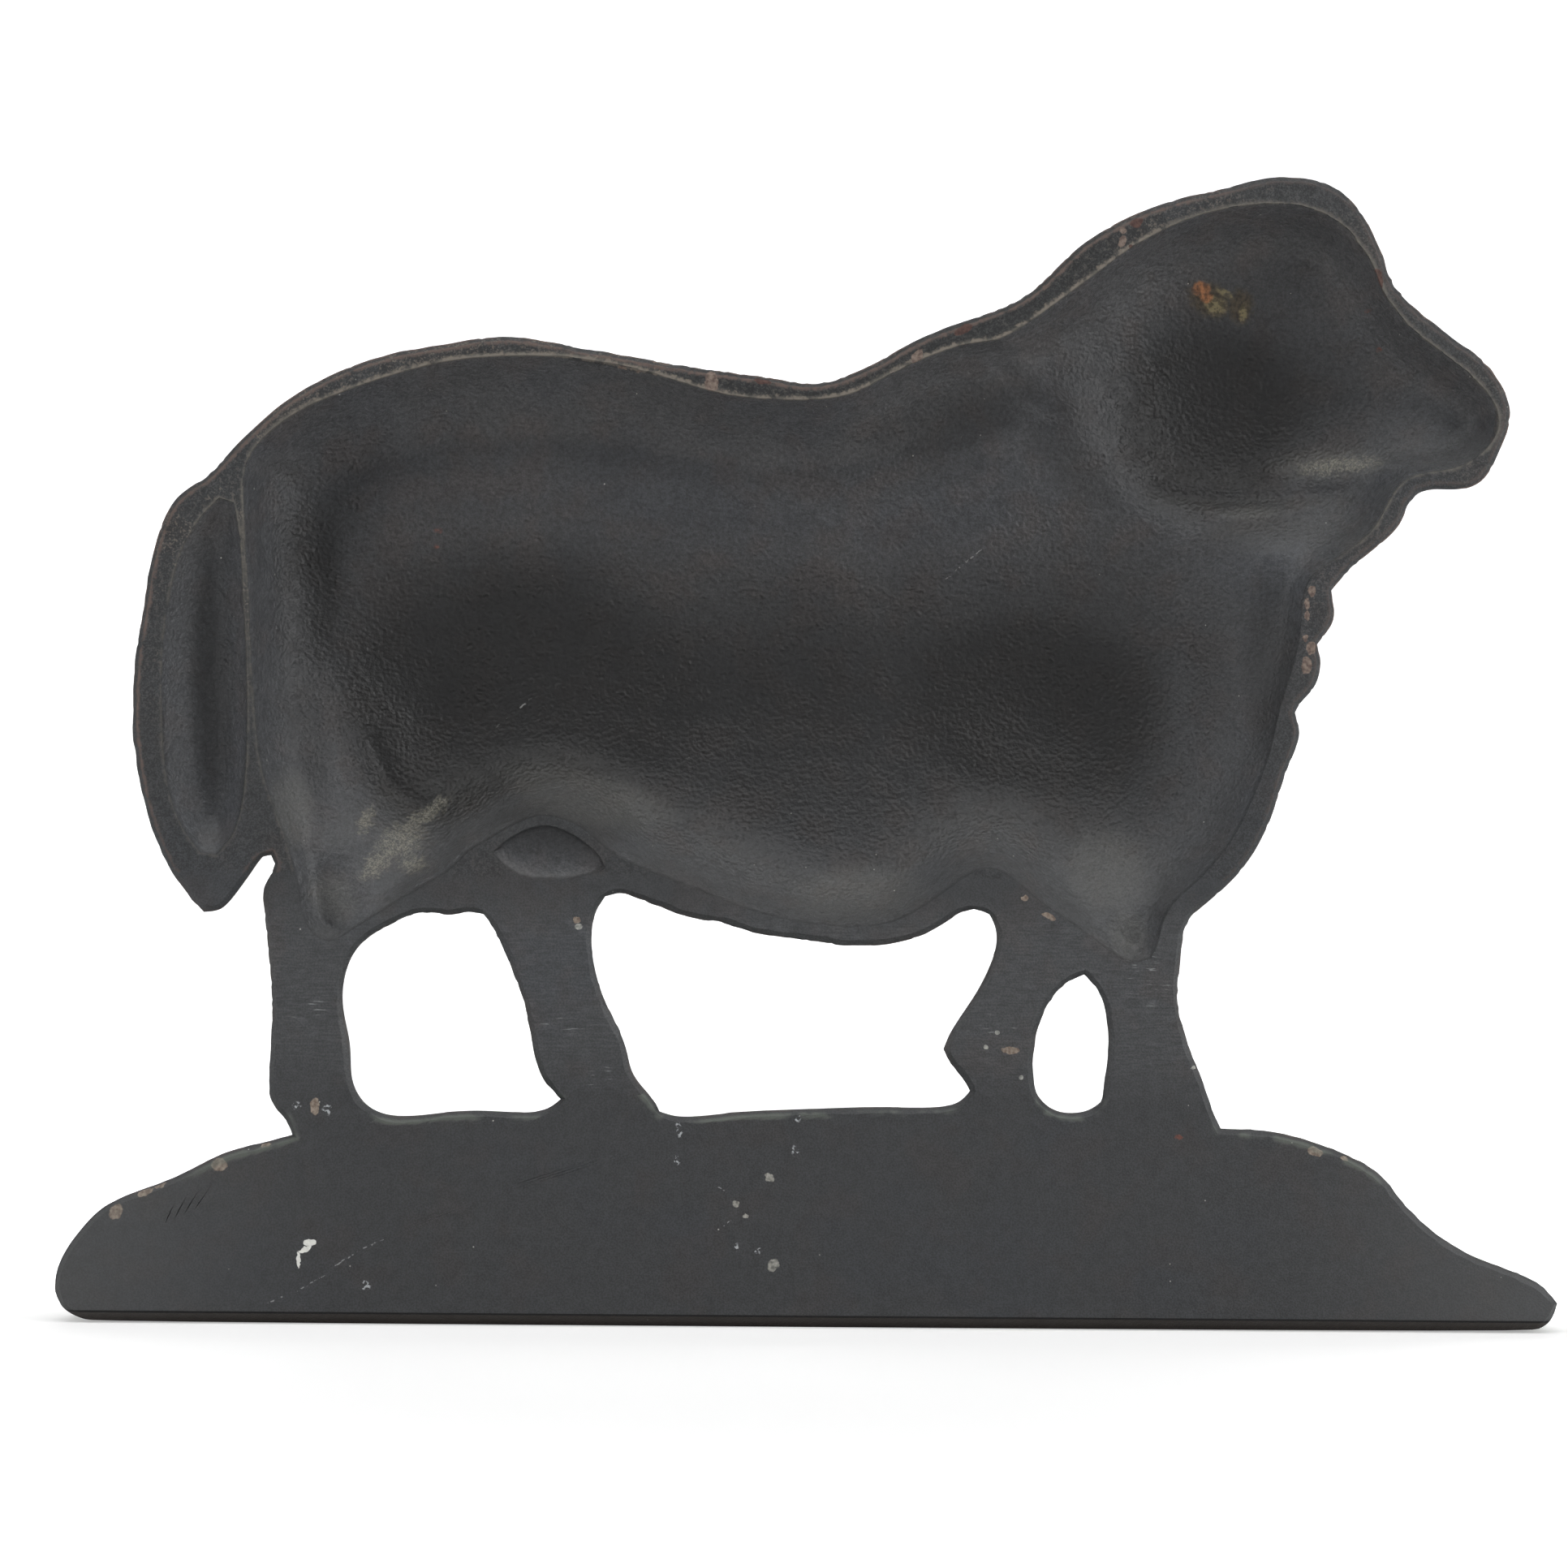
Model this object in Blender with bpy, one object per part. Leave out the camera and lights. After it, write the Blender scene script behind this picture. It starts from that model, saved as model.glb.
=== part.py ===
"""Cast iron sheep doorstop, a single hollow-backed casting on a flat-backed mound.

The back is one flat plane. Behind the body and head the iron is hollowed out to a shell,
with a shallow trough behind the tail and a dish over the far hind leg. The legs, the rim
round each hollow and the mound are solid and lie in that plane. The front is the modelled
relief: fleece, bare face, ear, legs and a mound that runs forward to make the foot.

Frame: +Z up, the flat back faces -Y, the head points to +X. The origin is on the floor,
under the middle of the casting. Sizes are in metres. Points of the drawing are in
millimetres on the drawn size, and place() brings them to the size that is set here.
"""

import math

import bmesh
import bpy
import numpy as np
from mathutils.geometry import delaunay_2d_cdt

# Overall sizes
LENGTH = 0.240
HEIGHT = 0.1843
MOUND_HEIGHT = 0.0323
MOUND_DEPTH = 0.044
MOUND_LIP = 0.007

# The plate that the silhouette is cut from, and its edges
RIM_THICKNESS = 0.0055
SHELL = 0.0045
BACK_ARRIS = 0.0009
FOOT_ARRIS = 0.0019
EDGE_DRAFT = 0.0003

# The hollows in the back
HOLLOW_WALL = 0.020
HOLLOW_STEP = 0.0008
HOLLOW_STEP_DRAFT = 0.0005
BODY_HOLLOW = 0.0112
BODY_WALL_RUN = 0.013
TAIL_HOLLOW = 0.0052
TAIL_WALL = 0.0062
TAIL_WALL_RUN = 0.0085
DISH_HOLLOW = 0.0017
DISH_WALL = 0.0034
DISH_WALL_RUN = 0.005

# The relief of the front
BODY_ROUNDING = 0.027
LEG_ROUNDING = 0.011
FRONT_SWELL = 0.028
LEG_RELIEF = 0.0065
HOOF_RELIEF = 0.0030
JOINT_RELIEF = 0.0014
TAIL_GROOVE_DEPTH = 0.0024
TAIL_GROOVE_WIDTH = 0.0050
WOOL_EDGE = 0.0014
CARVING_KEEPS_IN = 0.006
EAR_LENGTH = 0.024
EAR_WIDTH = 0.011
EAR_RELIEF = 0.0042
EYE_RELIEF = 0.0016
MOUTH_DEPTH = 0.0010
NOSTRIL_DEPTH = 0.0012

# The mound's roundness in plan, of its fall from the crest to the lip, and where legs meet it
MOUND_PLAN_POWERS = (2.4, 1 / 1.8)
MOUND_FALL_POWER = 1.5
MEETING_POWER = 4

# How finely the surfaces are faceted
OUTLINE_STEP = 0.0027
FOOT_STEP = 0.0085
FINE_STEP = 0.0016
HOLLOW_STEP_LENGTH = 0.0029
FIGURE_GRID = 0.0036
DETAIL_GRID = 0.0025
MOUND_GRID = 0.0056
BODY_HOLLOW_GRID = 0.0037
BODY_HOLLOW_ROWS = (0.0020, 0.0048)
TAIL_HOLLOW_GRID = 0.0026
TAIL_HOLLOW_ROWS = (0.0018, 0.0038)
FRONT_ROWS = (0.0018, 0.0044)
MOUND_ROWS = (0.0035,)
MOUND_END_GRID = 0.0020
MOUND_END_ROWS = (0.0014, 0.0031)

# How near points may come: rows to other lines, as a share of the row's own distance, and rows
# and lattices to points already set, as a share of the pitch
ROW_KEEPS_OFF = 0.92
ROW_SPACING = 0.45
GRID_SPACING = 0.61

# The drawing, in millimetres: the size it was drawn at
DRAWN_LENGTH = 240.0
DRAWN_HEIGHT = 184.0
DRAWN_MOUND = 32.0

# The silhouette, run by run, clockwise as seen from the back. A run of two points is straight.
SILHOUETTE = {
    "foot": [(115.5, 0), (-113.5, 0)],
    "heel": [(-113.5, 0), (-117.6, 1.5), (-119.5, 3.4), (-120, 6)],
    "mound_rear": [
        (-120, 6), (-119.3, 9.5), (-116, 14.5), (-112, 18.5), (-101, 23), (-93, 27),
        (-85.5, 29), (-82, 30),
    ],
    "near_hind_leg": [
        (-82, 30), (-82.6, 32), (-85.5, 34.5), (-86, 38), (-85.5, 49), (-86.5, 62.5), (-87.3, 69),
    ],
    "slit_before_the_tail": [
        (-87.3, 69), (-86.3, 70.8), (-85.4, 72.4), (-85.3, 73.8), (-86.4, 74.7), (-87.6, 73.9),
        (-89, 71.8), (-91, 69), (-92.6, 66.9), (-94, 65.6),
    ],
    "tail": [
        (-94, 65.6), (-96.3, 65.2), (-99.5, 68.5), (-103, 74), (-106, 82), (-108, 93),
        (-108, 103), (-106.5, 114.5), (-104.5, 125), (-101.5, 131.5), (-96.5, 135),
        (-91.5, 140.5),
    ],
    "back_and_poll": [
        (-91.5, 140.5), (-83.5, 147.5), (-71.5, 153.5), (-59.5, 156.2), (-48, 157.6),
        (-37.5, 156), (-23, 153.5), (-8, 151.5), (1, 150.5), (8, 152.8), (17.5, 158),
        (33.5, 164.5), (43.5, 173.5), (54, 179), (65, 182), (74, 184), (82, 183), (87, 179),
        (91, 171.5),
    ],
    "nose_lips_and_jaw": [
        (91, 171.5), (92.8, 166.5), (99.5, 160.5), (108, 154), (111, 149), (111.3, 145),
        (109.5, 140), (107, 135.5), (104, 134.3), (97.5, 134.2), (95.4, 132.4), (94, 128.6),
        (86, 121.5), (83, 118),
    ],
    "upper_breast_wool": [(83, 118), (83.5, 113.4), (80.8, 109.4)],
    "lower_breast_wool": [(80.8, 109.4), (81.4, 106.2), (80.6, 102.8), (78, 99.8), (77.4, 98.5)],
    "breast_and_near_foreleg": [
        (77.4, 98.5), (78.3, 95), (76, 89), (73, 80), (69.6, 74), (66.4, 70.5), (62.6, 67.2), (60.2, 64.9), (59.6, 60),
        (59, 53.5), (60, 47.5), (63.5, 38.5), (64.5, 35), (66, 32),
    ],
    "mound_front": [
        (66, 32), (75, 31.5), (85, 28.5), (91.5, 25), (96.5, 19), (104, 13.3), (111, 10.4),
        (117, 8), (120, 4.8),
    ],
    "toe": [(120, 4.8), (118.8, 1.7), (115.5, 0)],
}

# The mound's crest between and under the legs, joining its two ends
CREST = [
    (-68, 33.4), (-54, 34), (-42, 34), (-23, 33.6), (-8, 34.3), (8.5, 35), (24, 35.6),
    (42, 34.4),
]

# The three gaps between the legs
HIND_GAP = [
    (-74, 55.5), (-72, 60), (-66, 64), (-61.5, 65.7), (-57, 65), (-53, 66), (-51, 64),
    (-48, 58.5), (-45, 50), (-43, 40.5), (-41, 37.5), (-39.4, 35.7), (-42, 34), (-54, 34),
    (-66, 33), (-70, 34.2), (-72.7, 38), (-73, 44), (-74.4, 51),
]
BELLY_GAP = [
    (-30, 69), (-27, 68), (-19, 65), (-14, 64.4), (-9.5, 62.8), (0, 61.6), (8.5, 60.7),
    (16, 61.7), (21, 64), (25.5, 66.8), (28.5, 66.3), (30.2, 62.5), (28, 55.5), (23, 47.5),
    (21.6, 44.8), (22.8, 42.2), (25.2, 39.4), (26, 37.5), (24, 35.6), (8.5, 35), (-8, 34.3), (-23, 33.6),
    (-24.5, 36), (-28, 40), (-29, 44.5), (-33, 53), (-34.6, 60), (-34.2, 65.5), (-32.3, 68.5),
]
FORE_GAP = [
    (44, 56.4), (46.5, 53.8), (47.8, 49), (48, 44), (47.2, 38), (46.8, 35.5), (44, 34.4),
    (40, 34.4), (37, 36.3), (36, 40), (36.3, 46), (37.7, 50.5), (41, 55),
]

# The edges of the hollows in the back
BODY_EDGE = [
    # behind the near hind leg, down to the tongue in its thigh
    (-90.5, 137), (-90.6, 128), (-89.8, 116), (-89, 101), (-87.5, 88), (-83.5, 76.5),
    (-81.5, 69), (-80.5, 63.5), (-76.5, 60.3), (-73, 62.5), (-62, 69.5), (-57, 72.5),
    # over the far hind leg
    (-54, 75.8), (-51, 77.3), (-46.5, 80), (-42, 81.3), (-37, 79.6), (-32.5, 76), (-29, 73.8),
    # belly
    (-19, 70), (-7.5, 65.7), (4, 63.8), (13.5, 64.5), (21, 69), (25.5, 72.3), (28.5, 73.5),
    # tongue in the near foreleg
    (31.5, 72.5), (36, 68.5), (43.5, 63.5), (50, 58.8), (54, 58.3), (56, 62), (57, 66.5),
    # breast
    (63, 72.5), (68, 79), (73.4, 92), (74.9, 99), (77.8, 109), (79.3, 120),
    # jaw, muzzle, forehead and poll
    (82.5, 122.3), (89.5, 127.5), (93, 134), (95.5, 136.3), (104, 138), (109, 142.5),
    (109.4, 147), (105, 152.5), (96, 159.5), (92, 164), (88.5, 171.5), (82, 178),
    (73.5, 179.7), (62, 178), (52, 173.5), (42.5, 166.5), (32, 159),
    # dent at the withers, then the loin and rump
    (28.7, 157.4), (25, 157.3), (13, 152.5), (6.5, 149), (1, 148), (-13, 148.5), (-26, 152),
    (-39, 154.4), (-56, 154), (-65, 152), (-74, 149), (-82, 145.5), (-87.5, 141.3),
]
TAIL_EDGE = [
    (-94.5, 131.5), (-100, 124.5), (-103, 112), (-103.6, 99), (-102.2, 84), (-99, 77),
    (-95.8, 74), (-92.4, 76.6), (-90.5, 82), (-89.8, 90), (-89.75, 101), (-90.5, 116),
    (-91.4, 127.5), (-92.6, 131.5),
]
DISH_EDGE = [
    (-50.4, 75.4), (-46.2, 78.6), (-42, 79.9), (-37.4, 78.2), (-33.4, 75), (-31.8, 73.5),
    (-35, 71.7), (-42, 70.8), (-47.3, 71.9),
]

# Masses of the animal, as swellings on an even depth. Each is its middle and its spread on the
# drawing, in millimetres, its turn in degrees, and how much deeper it makes the body, in metres.
MASSES = {
    "barrel": ((-10, 98), (47, 14), 0, 0.0095),
    "haunch": ((-58, 99), (12, 16), 0, 0.0035),
    "stifle": ((-63, 93), (6, 8), 0, 0.0030),
    "shoulder": ((40, 99), (12, 13), 0, 0.0045),
    "elbow": ((47, 91), (7, 9), 0, 0.0020),
    "thigh_shelf": ((-80, 88), (7, 15), 8, -0.0060),
    "thigh_tongue": ((-70, 66), (10, 8), 20, -0.0085),
    "foreleg_tongue": ((50, 63), (9, 8), 0, -0.0085),
    "breast": ((74, 102), (8.5, 20), 0, -0.0086),
    "withers": ((0, 124), (22, 7), 0, -0.0016),
    "crest_of_neck": ((37, 150), (10, 13), -20, -0.0036),
    "cheek": ((66, 145), (14, 12), 0, 0.0092),
    "jowl": ((87, 128), (9, 5), 20, -0.0030),
    "brow": ((84, 165), (8, 8), 0, -0.0020),
    "muzzle": ((102, 146), (9, 8), 0, -0.0050),
    "dock": ((-98, 120), (5, 18), 0, -0.0040),
    "tail": ((-99, 90), (5.5, 22), 0, -0.0052),
}

# Folds of the animal: a line, its half width in millimetres, and how much deeper it makes the body
FOLDS = {
    "spine": ([(-82, 122), (-76, 135), (-60, 143), (-30, 144), (0, 141), (20, 143)], 6, 0.0014),
    "flank": ([(-66, 131), (-45, 132), (-20, 131), (5, 128), (26, 127)], 6, -0.0010),
    "throat": ([(45, 144), (54, 132), (66, 127), (77, 123)], 7, -0.0032),
    "nose": ([(80, 152), (92, 149), (100, 146)], 5, 0.0012),
    "lips": ([(78, 136), (88, 138.5), (106, 140)], 3.5, -0.0022),
}

# How far the walls of the body hollow run in from its edge before they level out. Round each
# place, by its spread on the drawing, the run goes over to the one given, in metres.
WALL_RUNS = {
    "loin": ((-20, 152), (50, 12), 0.026),
    "rump": ((-90, 122), (12, 18), 0.0085),
    "thigh": ((-86, 82), (10, 14), 0.019),
    "belly": ((-5, 66), (60, 12), 0.0165),
    "breast": ((76, 98), (16, 20), 0.026),
}

# Drawn places of the hooves on the mound, and of the knees, hocks and pasterns
HOOVES = [(-79, 34), (-33.5, 35), (31, 36.5), (56.5, 35)]
HOOF_SPREAD = (6.5, 5.5)
HOOF_FADES = (0.15, 0.75)
LEG_FADES = (-0.5, 3)
LEG_JOINTS = [(-80, 52), (-39, 51), (28.5, 44.5), (53, 50), (-80, 62), (-45, 61), (33, 60), (53, 62)]
JOINT_SPREAD = (4.5, 4)

# The groove between the tail and the haunch
TAIL_GROOVE = [(-91, 137), (-91.3, 126), (-90.8, 112), (-89.8, 98), (-88.2, 86), (-86, 75)]

# Drawn places of the features of the head
EAR_ROOT = (74, 163)
EAR_TURN = 212
EYE = (88, 158)
EYE_SPREAD = (2.3, 1.5)
EYE_TURN = -25
MOUTH = [(110, 139.5), (104, 140), (98, 142.5)]
MOUTH_WIDTH = 1.3
NOSTRIL = (107.5, 147.5)
NOSTRIL_SPREAD = (1.6, 1.1)
NOSTRIL_TURN = 30
FACE_EDGE_WIDTH = 1.5
FACE_EDGE = [(84, 178), (80, 168), (77, 156), (76, 144), (79, 132), (84, 122)]
HEAD_CORNER = (52, 118)
FLEECE_FOOT = (62, 70)
LEG_TOPS = (48, 72)

# Places on the drawing where the front's facets are finer
HOOVES_FROM_TO = (-90, 68)
HOOVES_OFF_CREST = 9
TAIL_TIP_FROM_TO = (60, 84)
TAIL_TIP_FRONT = -88
MOUND_ENDS = 107


def place(points):
    """Drawn points, in millimetres, as x and z of the casting in metres."""
    drawn = np.asarray(points, float)
    x = drawn[:, 0] * LENGTH / DRAWN_LENGTH
    below = np.minimum(drawn[:, 1], DRAWN_MOUND) * MOUND_HEIGHT / DRAWN_MOUND
    above = np.maximum(drawn[:, 1] - DRAWN_MOUND, 0) * (HEIGHT - MOUND_HEIGHT)
    return np.column_stack([x, below + above / (DRAWN_HEIGHT - DRAWN_MOUND)])


def drawn(points):
    """The other way: x and z of the casting, in metres, as drawn points in millimetres."""
    x = points[:, 0] * DRAWN_LENGTH / LENGTH
    below = np.minimum(points[:, 1], MOUND_HEIGHT) * DRAWN_MOUND / MOUND_HEIGHT
    above = np.maximum(points[:, 1] - MOUND_HEIGHT, 0) * (DRAWN_HEIGHT - DRAWN_MOUND)
    return np.column_stack([x, below + above / (HEIGHT - MOUND_HEIGHT)])


def even(line, step):
    """Points an even step apart along a fine line, from its start up to but not at its end."""
    lengths = np.concatenate([[0], np.cumsum(np.linalg.norm(np.diff(line, axis=0), axis=1))])
    count = max(1, round(lengths[-1] / step))
    at = np.arange(count) * lengths[-1] / count
    return np.column_stack([np.interp(at, lengths, line[:, k]) for k in (0, 1)])


def spline(points, closed=False):
    """A fine line through the points: a centripetal Catmull-Rom curve."""
    if closed:
        knots = np.vstack([points[-1:], points, points[:2]])
    else:
        knots = np.vstack([2 * points[:1] - points[1:2], points, 2 * points[-1:] - points[-2:-1]])
    share = np.linspace(0, 1, 24, endpoint=False)[:, None]
    pieces = []
    for a, b, c, d in zip(knots, knots[1:], knots[2:], knots[3:]):
        t1 = np.linalg.norm(b - a) ** 0.5
        t2 = t1 + np.linalg.norm(c - b) ** 0.5
        t3 = t2 + np.linalg.norm(d - c) ** 0.5
        t = t1 + (t2 - t1) * share
        ab = a + (b - a) * t / t1
        bc = b + (c - b) * (t - t1) / (t2 - t1)
        cd = c + (d - c) * (t - t2) / (t3 - t2)
        abc = ab + (bc - ab) * t / t2
        bcd = bc + (cd - bc) * (t - t1) / (t3 - t1)
        pieces.append(abc + (bcd - abc) * (t - t1) / (t2 - t1))
    return np.vstack(pieces + [knots[-2:-1]])


def loop_of(points, step):
    return even(spline(place(points), closed=True), step)


def silhouette_loop():
    fine = ("heel", "toe", "slit_before_the_tail", "upper_breast_wool", "lower_breast_wool")
    steps = {"foot": FOOT_STEP} | dict.fromkeys(fine, FINE_STEP)
    runs = []
    for name, points in SILHOUETTE.items():
        line = place(points) if len(points) == 2 else spline(place(points))
        runs.append(even(line, steps.get(name, OUTLINE_STEP)))
    return np.vstack(runs)


def inside(points, loop):
    """Whether each point is inside the loop."""
    found = np.zeros(len(points), bool)
    for a, b in zip(loop, np.roll(loop, -1, axis=0)):
        spans = (a[1] > points[:, 1]) != (b[1] > points[:, 1])
        rise = b[1] - a[1] if b[1] != a[1] else 1.0
        found ^= spans & (points[:, 0] < a[0] + (points[:, 1] - a[1]) * (b[0] - a[0]) / rise)
    return found


def distance(points, line, closed=True):
    """How far each point is from the line."""
    ends = np.roll(line, -1, axis=0) if closed else line[1:]
    starts = line if closed else line[:-1]
    along = ends - starts
    reach = points[:, None] - starts[None]
    share = (reach * along).sum(axis=2) / np.maximum((along * along).sum(axis=1), 1e-18)
    nearest = starts + np.clip(share, 0, 1)[..., None] * along
    return np.linalg.norm(points[:, None] - nearest, axis=2).min(axis=1)


def outward(loop):
    """Unit normals of a loop that is drawn clockwise, pointing out of what it encloses."""
    tangent = np.roll(loop, -1, axis=0) - np.roll(loop, 1, axis=0)
    tangent /= np.linalg.norm(tangent, axis=1)[:, None]
    return np.column_stack([-tangent[:, 1], tangent[:, 0]])


def clockwise(loop):
    x, z = loop[:, 0], loop[:, 1]
    area = (x * np.roll(z, -1) - np.roll(x, -1) * z).sum()
    return loop[::-1] if area > 0 else loop


def smooth_min(a, b, sharpness=3.0):
    tiny = 1e-7
    a, b = np.maximum(a, tiny), np.maximum(b, tiny)
    return (a**-sharpness + b**-sharpness) ** (-1 / sharpness)


def smooth_step(low, high, value):
    t = np.clip((value - low) / (high - low), 0, 1)
    return t * t * (3 - 2 * t)


def cove(distance_in, run):
    """A wall that starts steep and levels out over its run: 0 at the edge, 1 past the run."""
    return 1 - (1 - np.clip(distance_in / run, 0, 1)) ** 2


def bump(points, middle, spread, turn):
    """A round swelling of height 1 on the drawing."""
    c, s = math.cos(math.radians(turn)), math.sin(math.radians(turn))
    dx, dz = points[:, 0] - middle[0], points[:, 1] - middle[1]
    u, v = (c * dx + s * dz) / spread[0], (c * dz - s * dx) / spread[1]
    return np.exp(-(u * u + v * v) / 2)


def body_depth(points):
    """Depth of the animal behind the back plane, before walls and edges bring it down."""
    sheet = drawn(points)
    depth = np.full(len(points), BODY_HOLLOW)
    for middle, spread, turn, deeper in MASSES.values():
        depth += deeper * bump(sheet, middle, spread, turn)
    for line, half_width, deeper in FOLDS.values():
        away = distance(sheet, spline(np.array(line, float)), closed=False)
        depth += deeper * np.exp(-((away / half_width) ** 2))
    return depth


def hollow_wall_run(points):
    """How far in from its edge the body hollow's wall runs, near each point."""
    sheet = drawn(points)
    shares = [bump(sheet, middle, spread, 0) for middle, spread, _ in WALL_RUNS.values()]
    runs = np.array([run for _, _, run in WALL_RUNS.values()])
    rest = np.clip(1 - np.sum(shares, axis=0), 0, 1)
    total = np.sum(shares, axis=0) + rest
    return (np.tensordot(runs, shares, 1) + BODY_WALL_RUN * rest) / total


HOLLOWS = {
    "body": (
        BODY_EDGE, body_depth, HOLLOW_WALL, hollow_wall_run, BODY_HOLLOW_GRID, BODY_HOLLOW_ROWS,
    ),
    "tail": (
        TAIL_EDGE, lambda points: TAIL_HOLLOW, TAIL_WALL, lambda points: TAIL_WALL_RUN,
        TAIL_HOLLOW_GRID, TAIL_HOLLOW_ROWS,
    ),
    "dish": (
        DISH_EDGE, lambda points: DISH_HOLLOW, DISH_WALL, lambda points: DISH_WALL_RUN,
        BODY_HOLLOW_GRID, BODY_HOLLOW_ROWS,
    ),
}


def back_depth(points):
    """How far the back surface lies behind the back plane: 0 on the rim, legs and mound."""
    depth = np.zeros(len(points))
    for edge, bottom, wall_height, wall_run, _, _ in HOLLOWS.values():
        loop = loop_of(edge, HOLLOW_STEP_LENGTH)
        inner = inside(points, loop) & (distance(points, loop) > HOLLOW_STEP_DRAFT / 2)
        here = points[inner]
        if not len(here):
            continue
        from_edge = distance(here, loop)
        full = bottom(here)
        wall = cove(from_edge - HOLLOW_STEP_DRAFT, wall_run(here)) * np.maximum(full, wall_height)
        step = np.minimum(HOLLOW_STEP, full)
        depth[inner] = np.where(wall <= 0, step, np.minimum(step + smooth_min(wall, full), full))
    return depth


def mound_top(points):
    """Height of the mound's top line over each point, in metres."""
    line = np.array(SILHOUETTE["mound_rear"] + CREST + SILHOUETTE["mound_front"], float)
    crest = np.interp(drawn(points)[:, 0], line[:, 0], line[:, 1])
    return place(np.column_stack([np.zeros(len(points)), crest]))[:, 1]


def mound_front(points):
    """Depth of the mound's front: a D in plan, rounding over from its top line to an upright lip."""
    across = np.clip(np.abs(points[:, 0]) / (LENGTH / 2), 0, 1)
    plan = (MOUND_DEPTH - RIM_THICKNESS) * (1 - across ** MOUND_PLAN_POWERS[0]) ** MOUND_PLAN_POWERS[1]
    top = mound_top(points)
    lip = np.minimum(MOUND_LIP, top / 2)
    fall = np.clip((top - points[:, 1]) / (top - lip), 0, 1)
    return RIM_THICKNESS + plan * (1 - (1 - fall) ** MOUND_FALL_POWER)


def tail_groove(points):
    """Depth of the groove that sets the tail off from the haunch."""
    away = distance(points, spline(place(TAIL_GROOVE)), closed=False)
    return TAIL_GROOVE_DEPTH * np.exp(-((away / (TAIL_GROOVE_WIDTH / 2)) ** 2))


def leg_share(points):
    """1 on the animal, fading out on the mound round each hoof."""
    above = (points[:, 1] - mound_top(points)) * 1000
    sheet = drawn(points)
    hoof = np.max([bump(sheet, middle, HOOF_SPREAD, 0) for middle in HOOVES], axis=0)
    return np.maximum(smooth_step(*LEG_FADES, above), smooth_step(*HOOF_FADES, hoof))


def leg_relief(points):
    """Height of the legs on the front, fuller at the knees, hocks and hooves."""
    sheet = drawn(points)
    joint = np.max([bump(sheet, middle, JOINT_SPREAD, 0) for middle in LEG_JOINTS], axis=0)
    hoof = np.max([bump(sheet, middle, HOOF_SPREAD, 0) for middle in HOOVES], axis=0)
    return LEG_RELIEF + JOINT_RELIEF * joint + HOOF_RELIEF * hoof


def face_share(points):
    """1 on the bare face, 0 on the wool."""
    edge = np.array(FACE_EDGE[::-1], float)
    sheet = drawn(points)
    ahead = sheet[:, 0] - np.interp(sheet[:, 1], edge[:, 1], edge[:, 0])
    return smooth_step(-FACE_EDGE_WIDTH, FACE_EDGE_WIDTH, ahead) * (sheet[:, 1] > HEAD_CORNER[1])


def wool_share(points):
    """1 where the front is wool: not the face, the legs, the tail's edge or the mound."""
    up = smooth_step(*FLEECE_FOOT, drawn(points)[:, 1])
    return up * (1 - face_share(points))


def head_features(points):
    """The ear, the eye, the mouth and the nostril, as heights on the front."""
    sheet = drawn(points)
    c, s = math.cos(math.radians(EAR_TURN)), math.sin(math.radians(EAR_TURN))
    root = place([EAR_ROOT])[0]
    dx, dz = points[:, 0] - root[0], points[:, 1] - root[1]
    along, across = (c * dx + s * dz) / EAR_LENGTH, (c * dz - s * dx) / (EAR_WIDTH / 2)
    leaf = np.sin(np.pi * np.clip(along, 0, 1) ** 0.8)
    ear = EAR_RELIEF * leaf * np.clip(1 - (across / np.maximum(leaf, 1e-3)) ** 2, 0, 1) ** 0.5
    eye = EYE_RELIEF * bump(sheet, EYE, EYE_SPREAD, EYE_TURN)
    off_mouth = distance(sheet, np.array(MOUTH, float), closed=False) / MOUTH_WIDTH
    mouth = MOUTH_DEPTH * np.exp(-(off_mouth**2))
    nostril = NOSTRIL_DEPTH * bump(sheet, NOSTRIL, NOSTRIL_SPREAD, NOSTRIL_TURN)
    return ear + eye - mouth - nostril


def front_depth(points, outlines):
    """How far the front surface lies in front of the back plane."""
    from_edge = np.min([distance(points, loop) for loop in outlines], axis=0)
    standing = smooth_step(*LEG_TOPS, drawn(points)[:, 1])
    legs = leg_relief(points)
    figure = legs + (body_depth(points) + SHELL - RIM_THICKNESS - legs) * standing
    reach = LEG_ROUNDING + (BODY_ROUNDING - LEG_ROUNDING) * standing
    relief = smooth_min(FRONT_SWELL * cove(from_edge, reach), np.maximum(figure, LEG_RELIEF / 2))
    carved = head_features(points) - tail_groove(points) - WOOL_EDGE * face_share(points)
    relief += carved * smooth_step(0, CARVING_KEEPS_IN, from_edge)
    relief *= leg_share(points)
    mound = mound_front(points) - RIM_THICKNESS
    meeting = np.maximum(relief, 0) ** MEETING_POWER + mound**MEETING_POWER
    return RIM_THICKNESS + meeting ** (1 / MEETING_POWER)


def lattice(low, high, pitch):
    """Points of a grid of even triangles."""
    rows = np.arange(low[1], high[1], pitch * math.sqrt(3) / 2)
    columns = np.arange(low[0], high[0], pitch)
    grid = [(x + pitch / 2 * (i % 2), z) for i, z in enumerate(rows) for x in columns]
    return np.array(grid)


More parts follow.
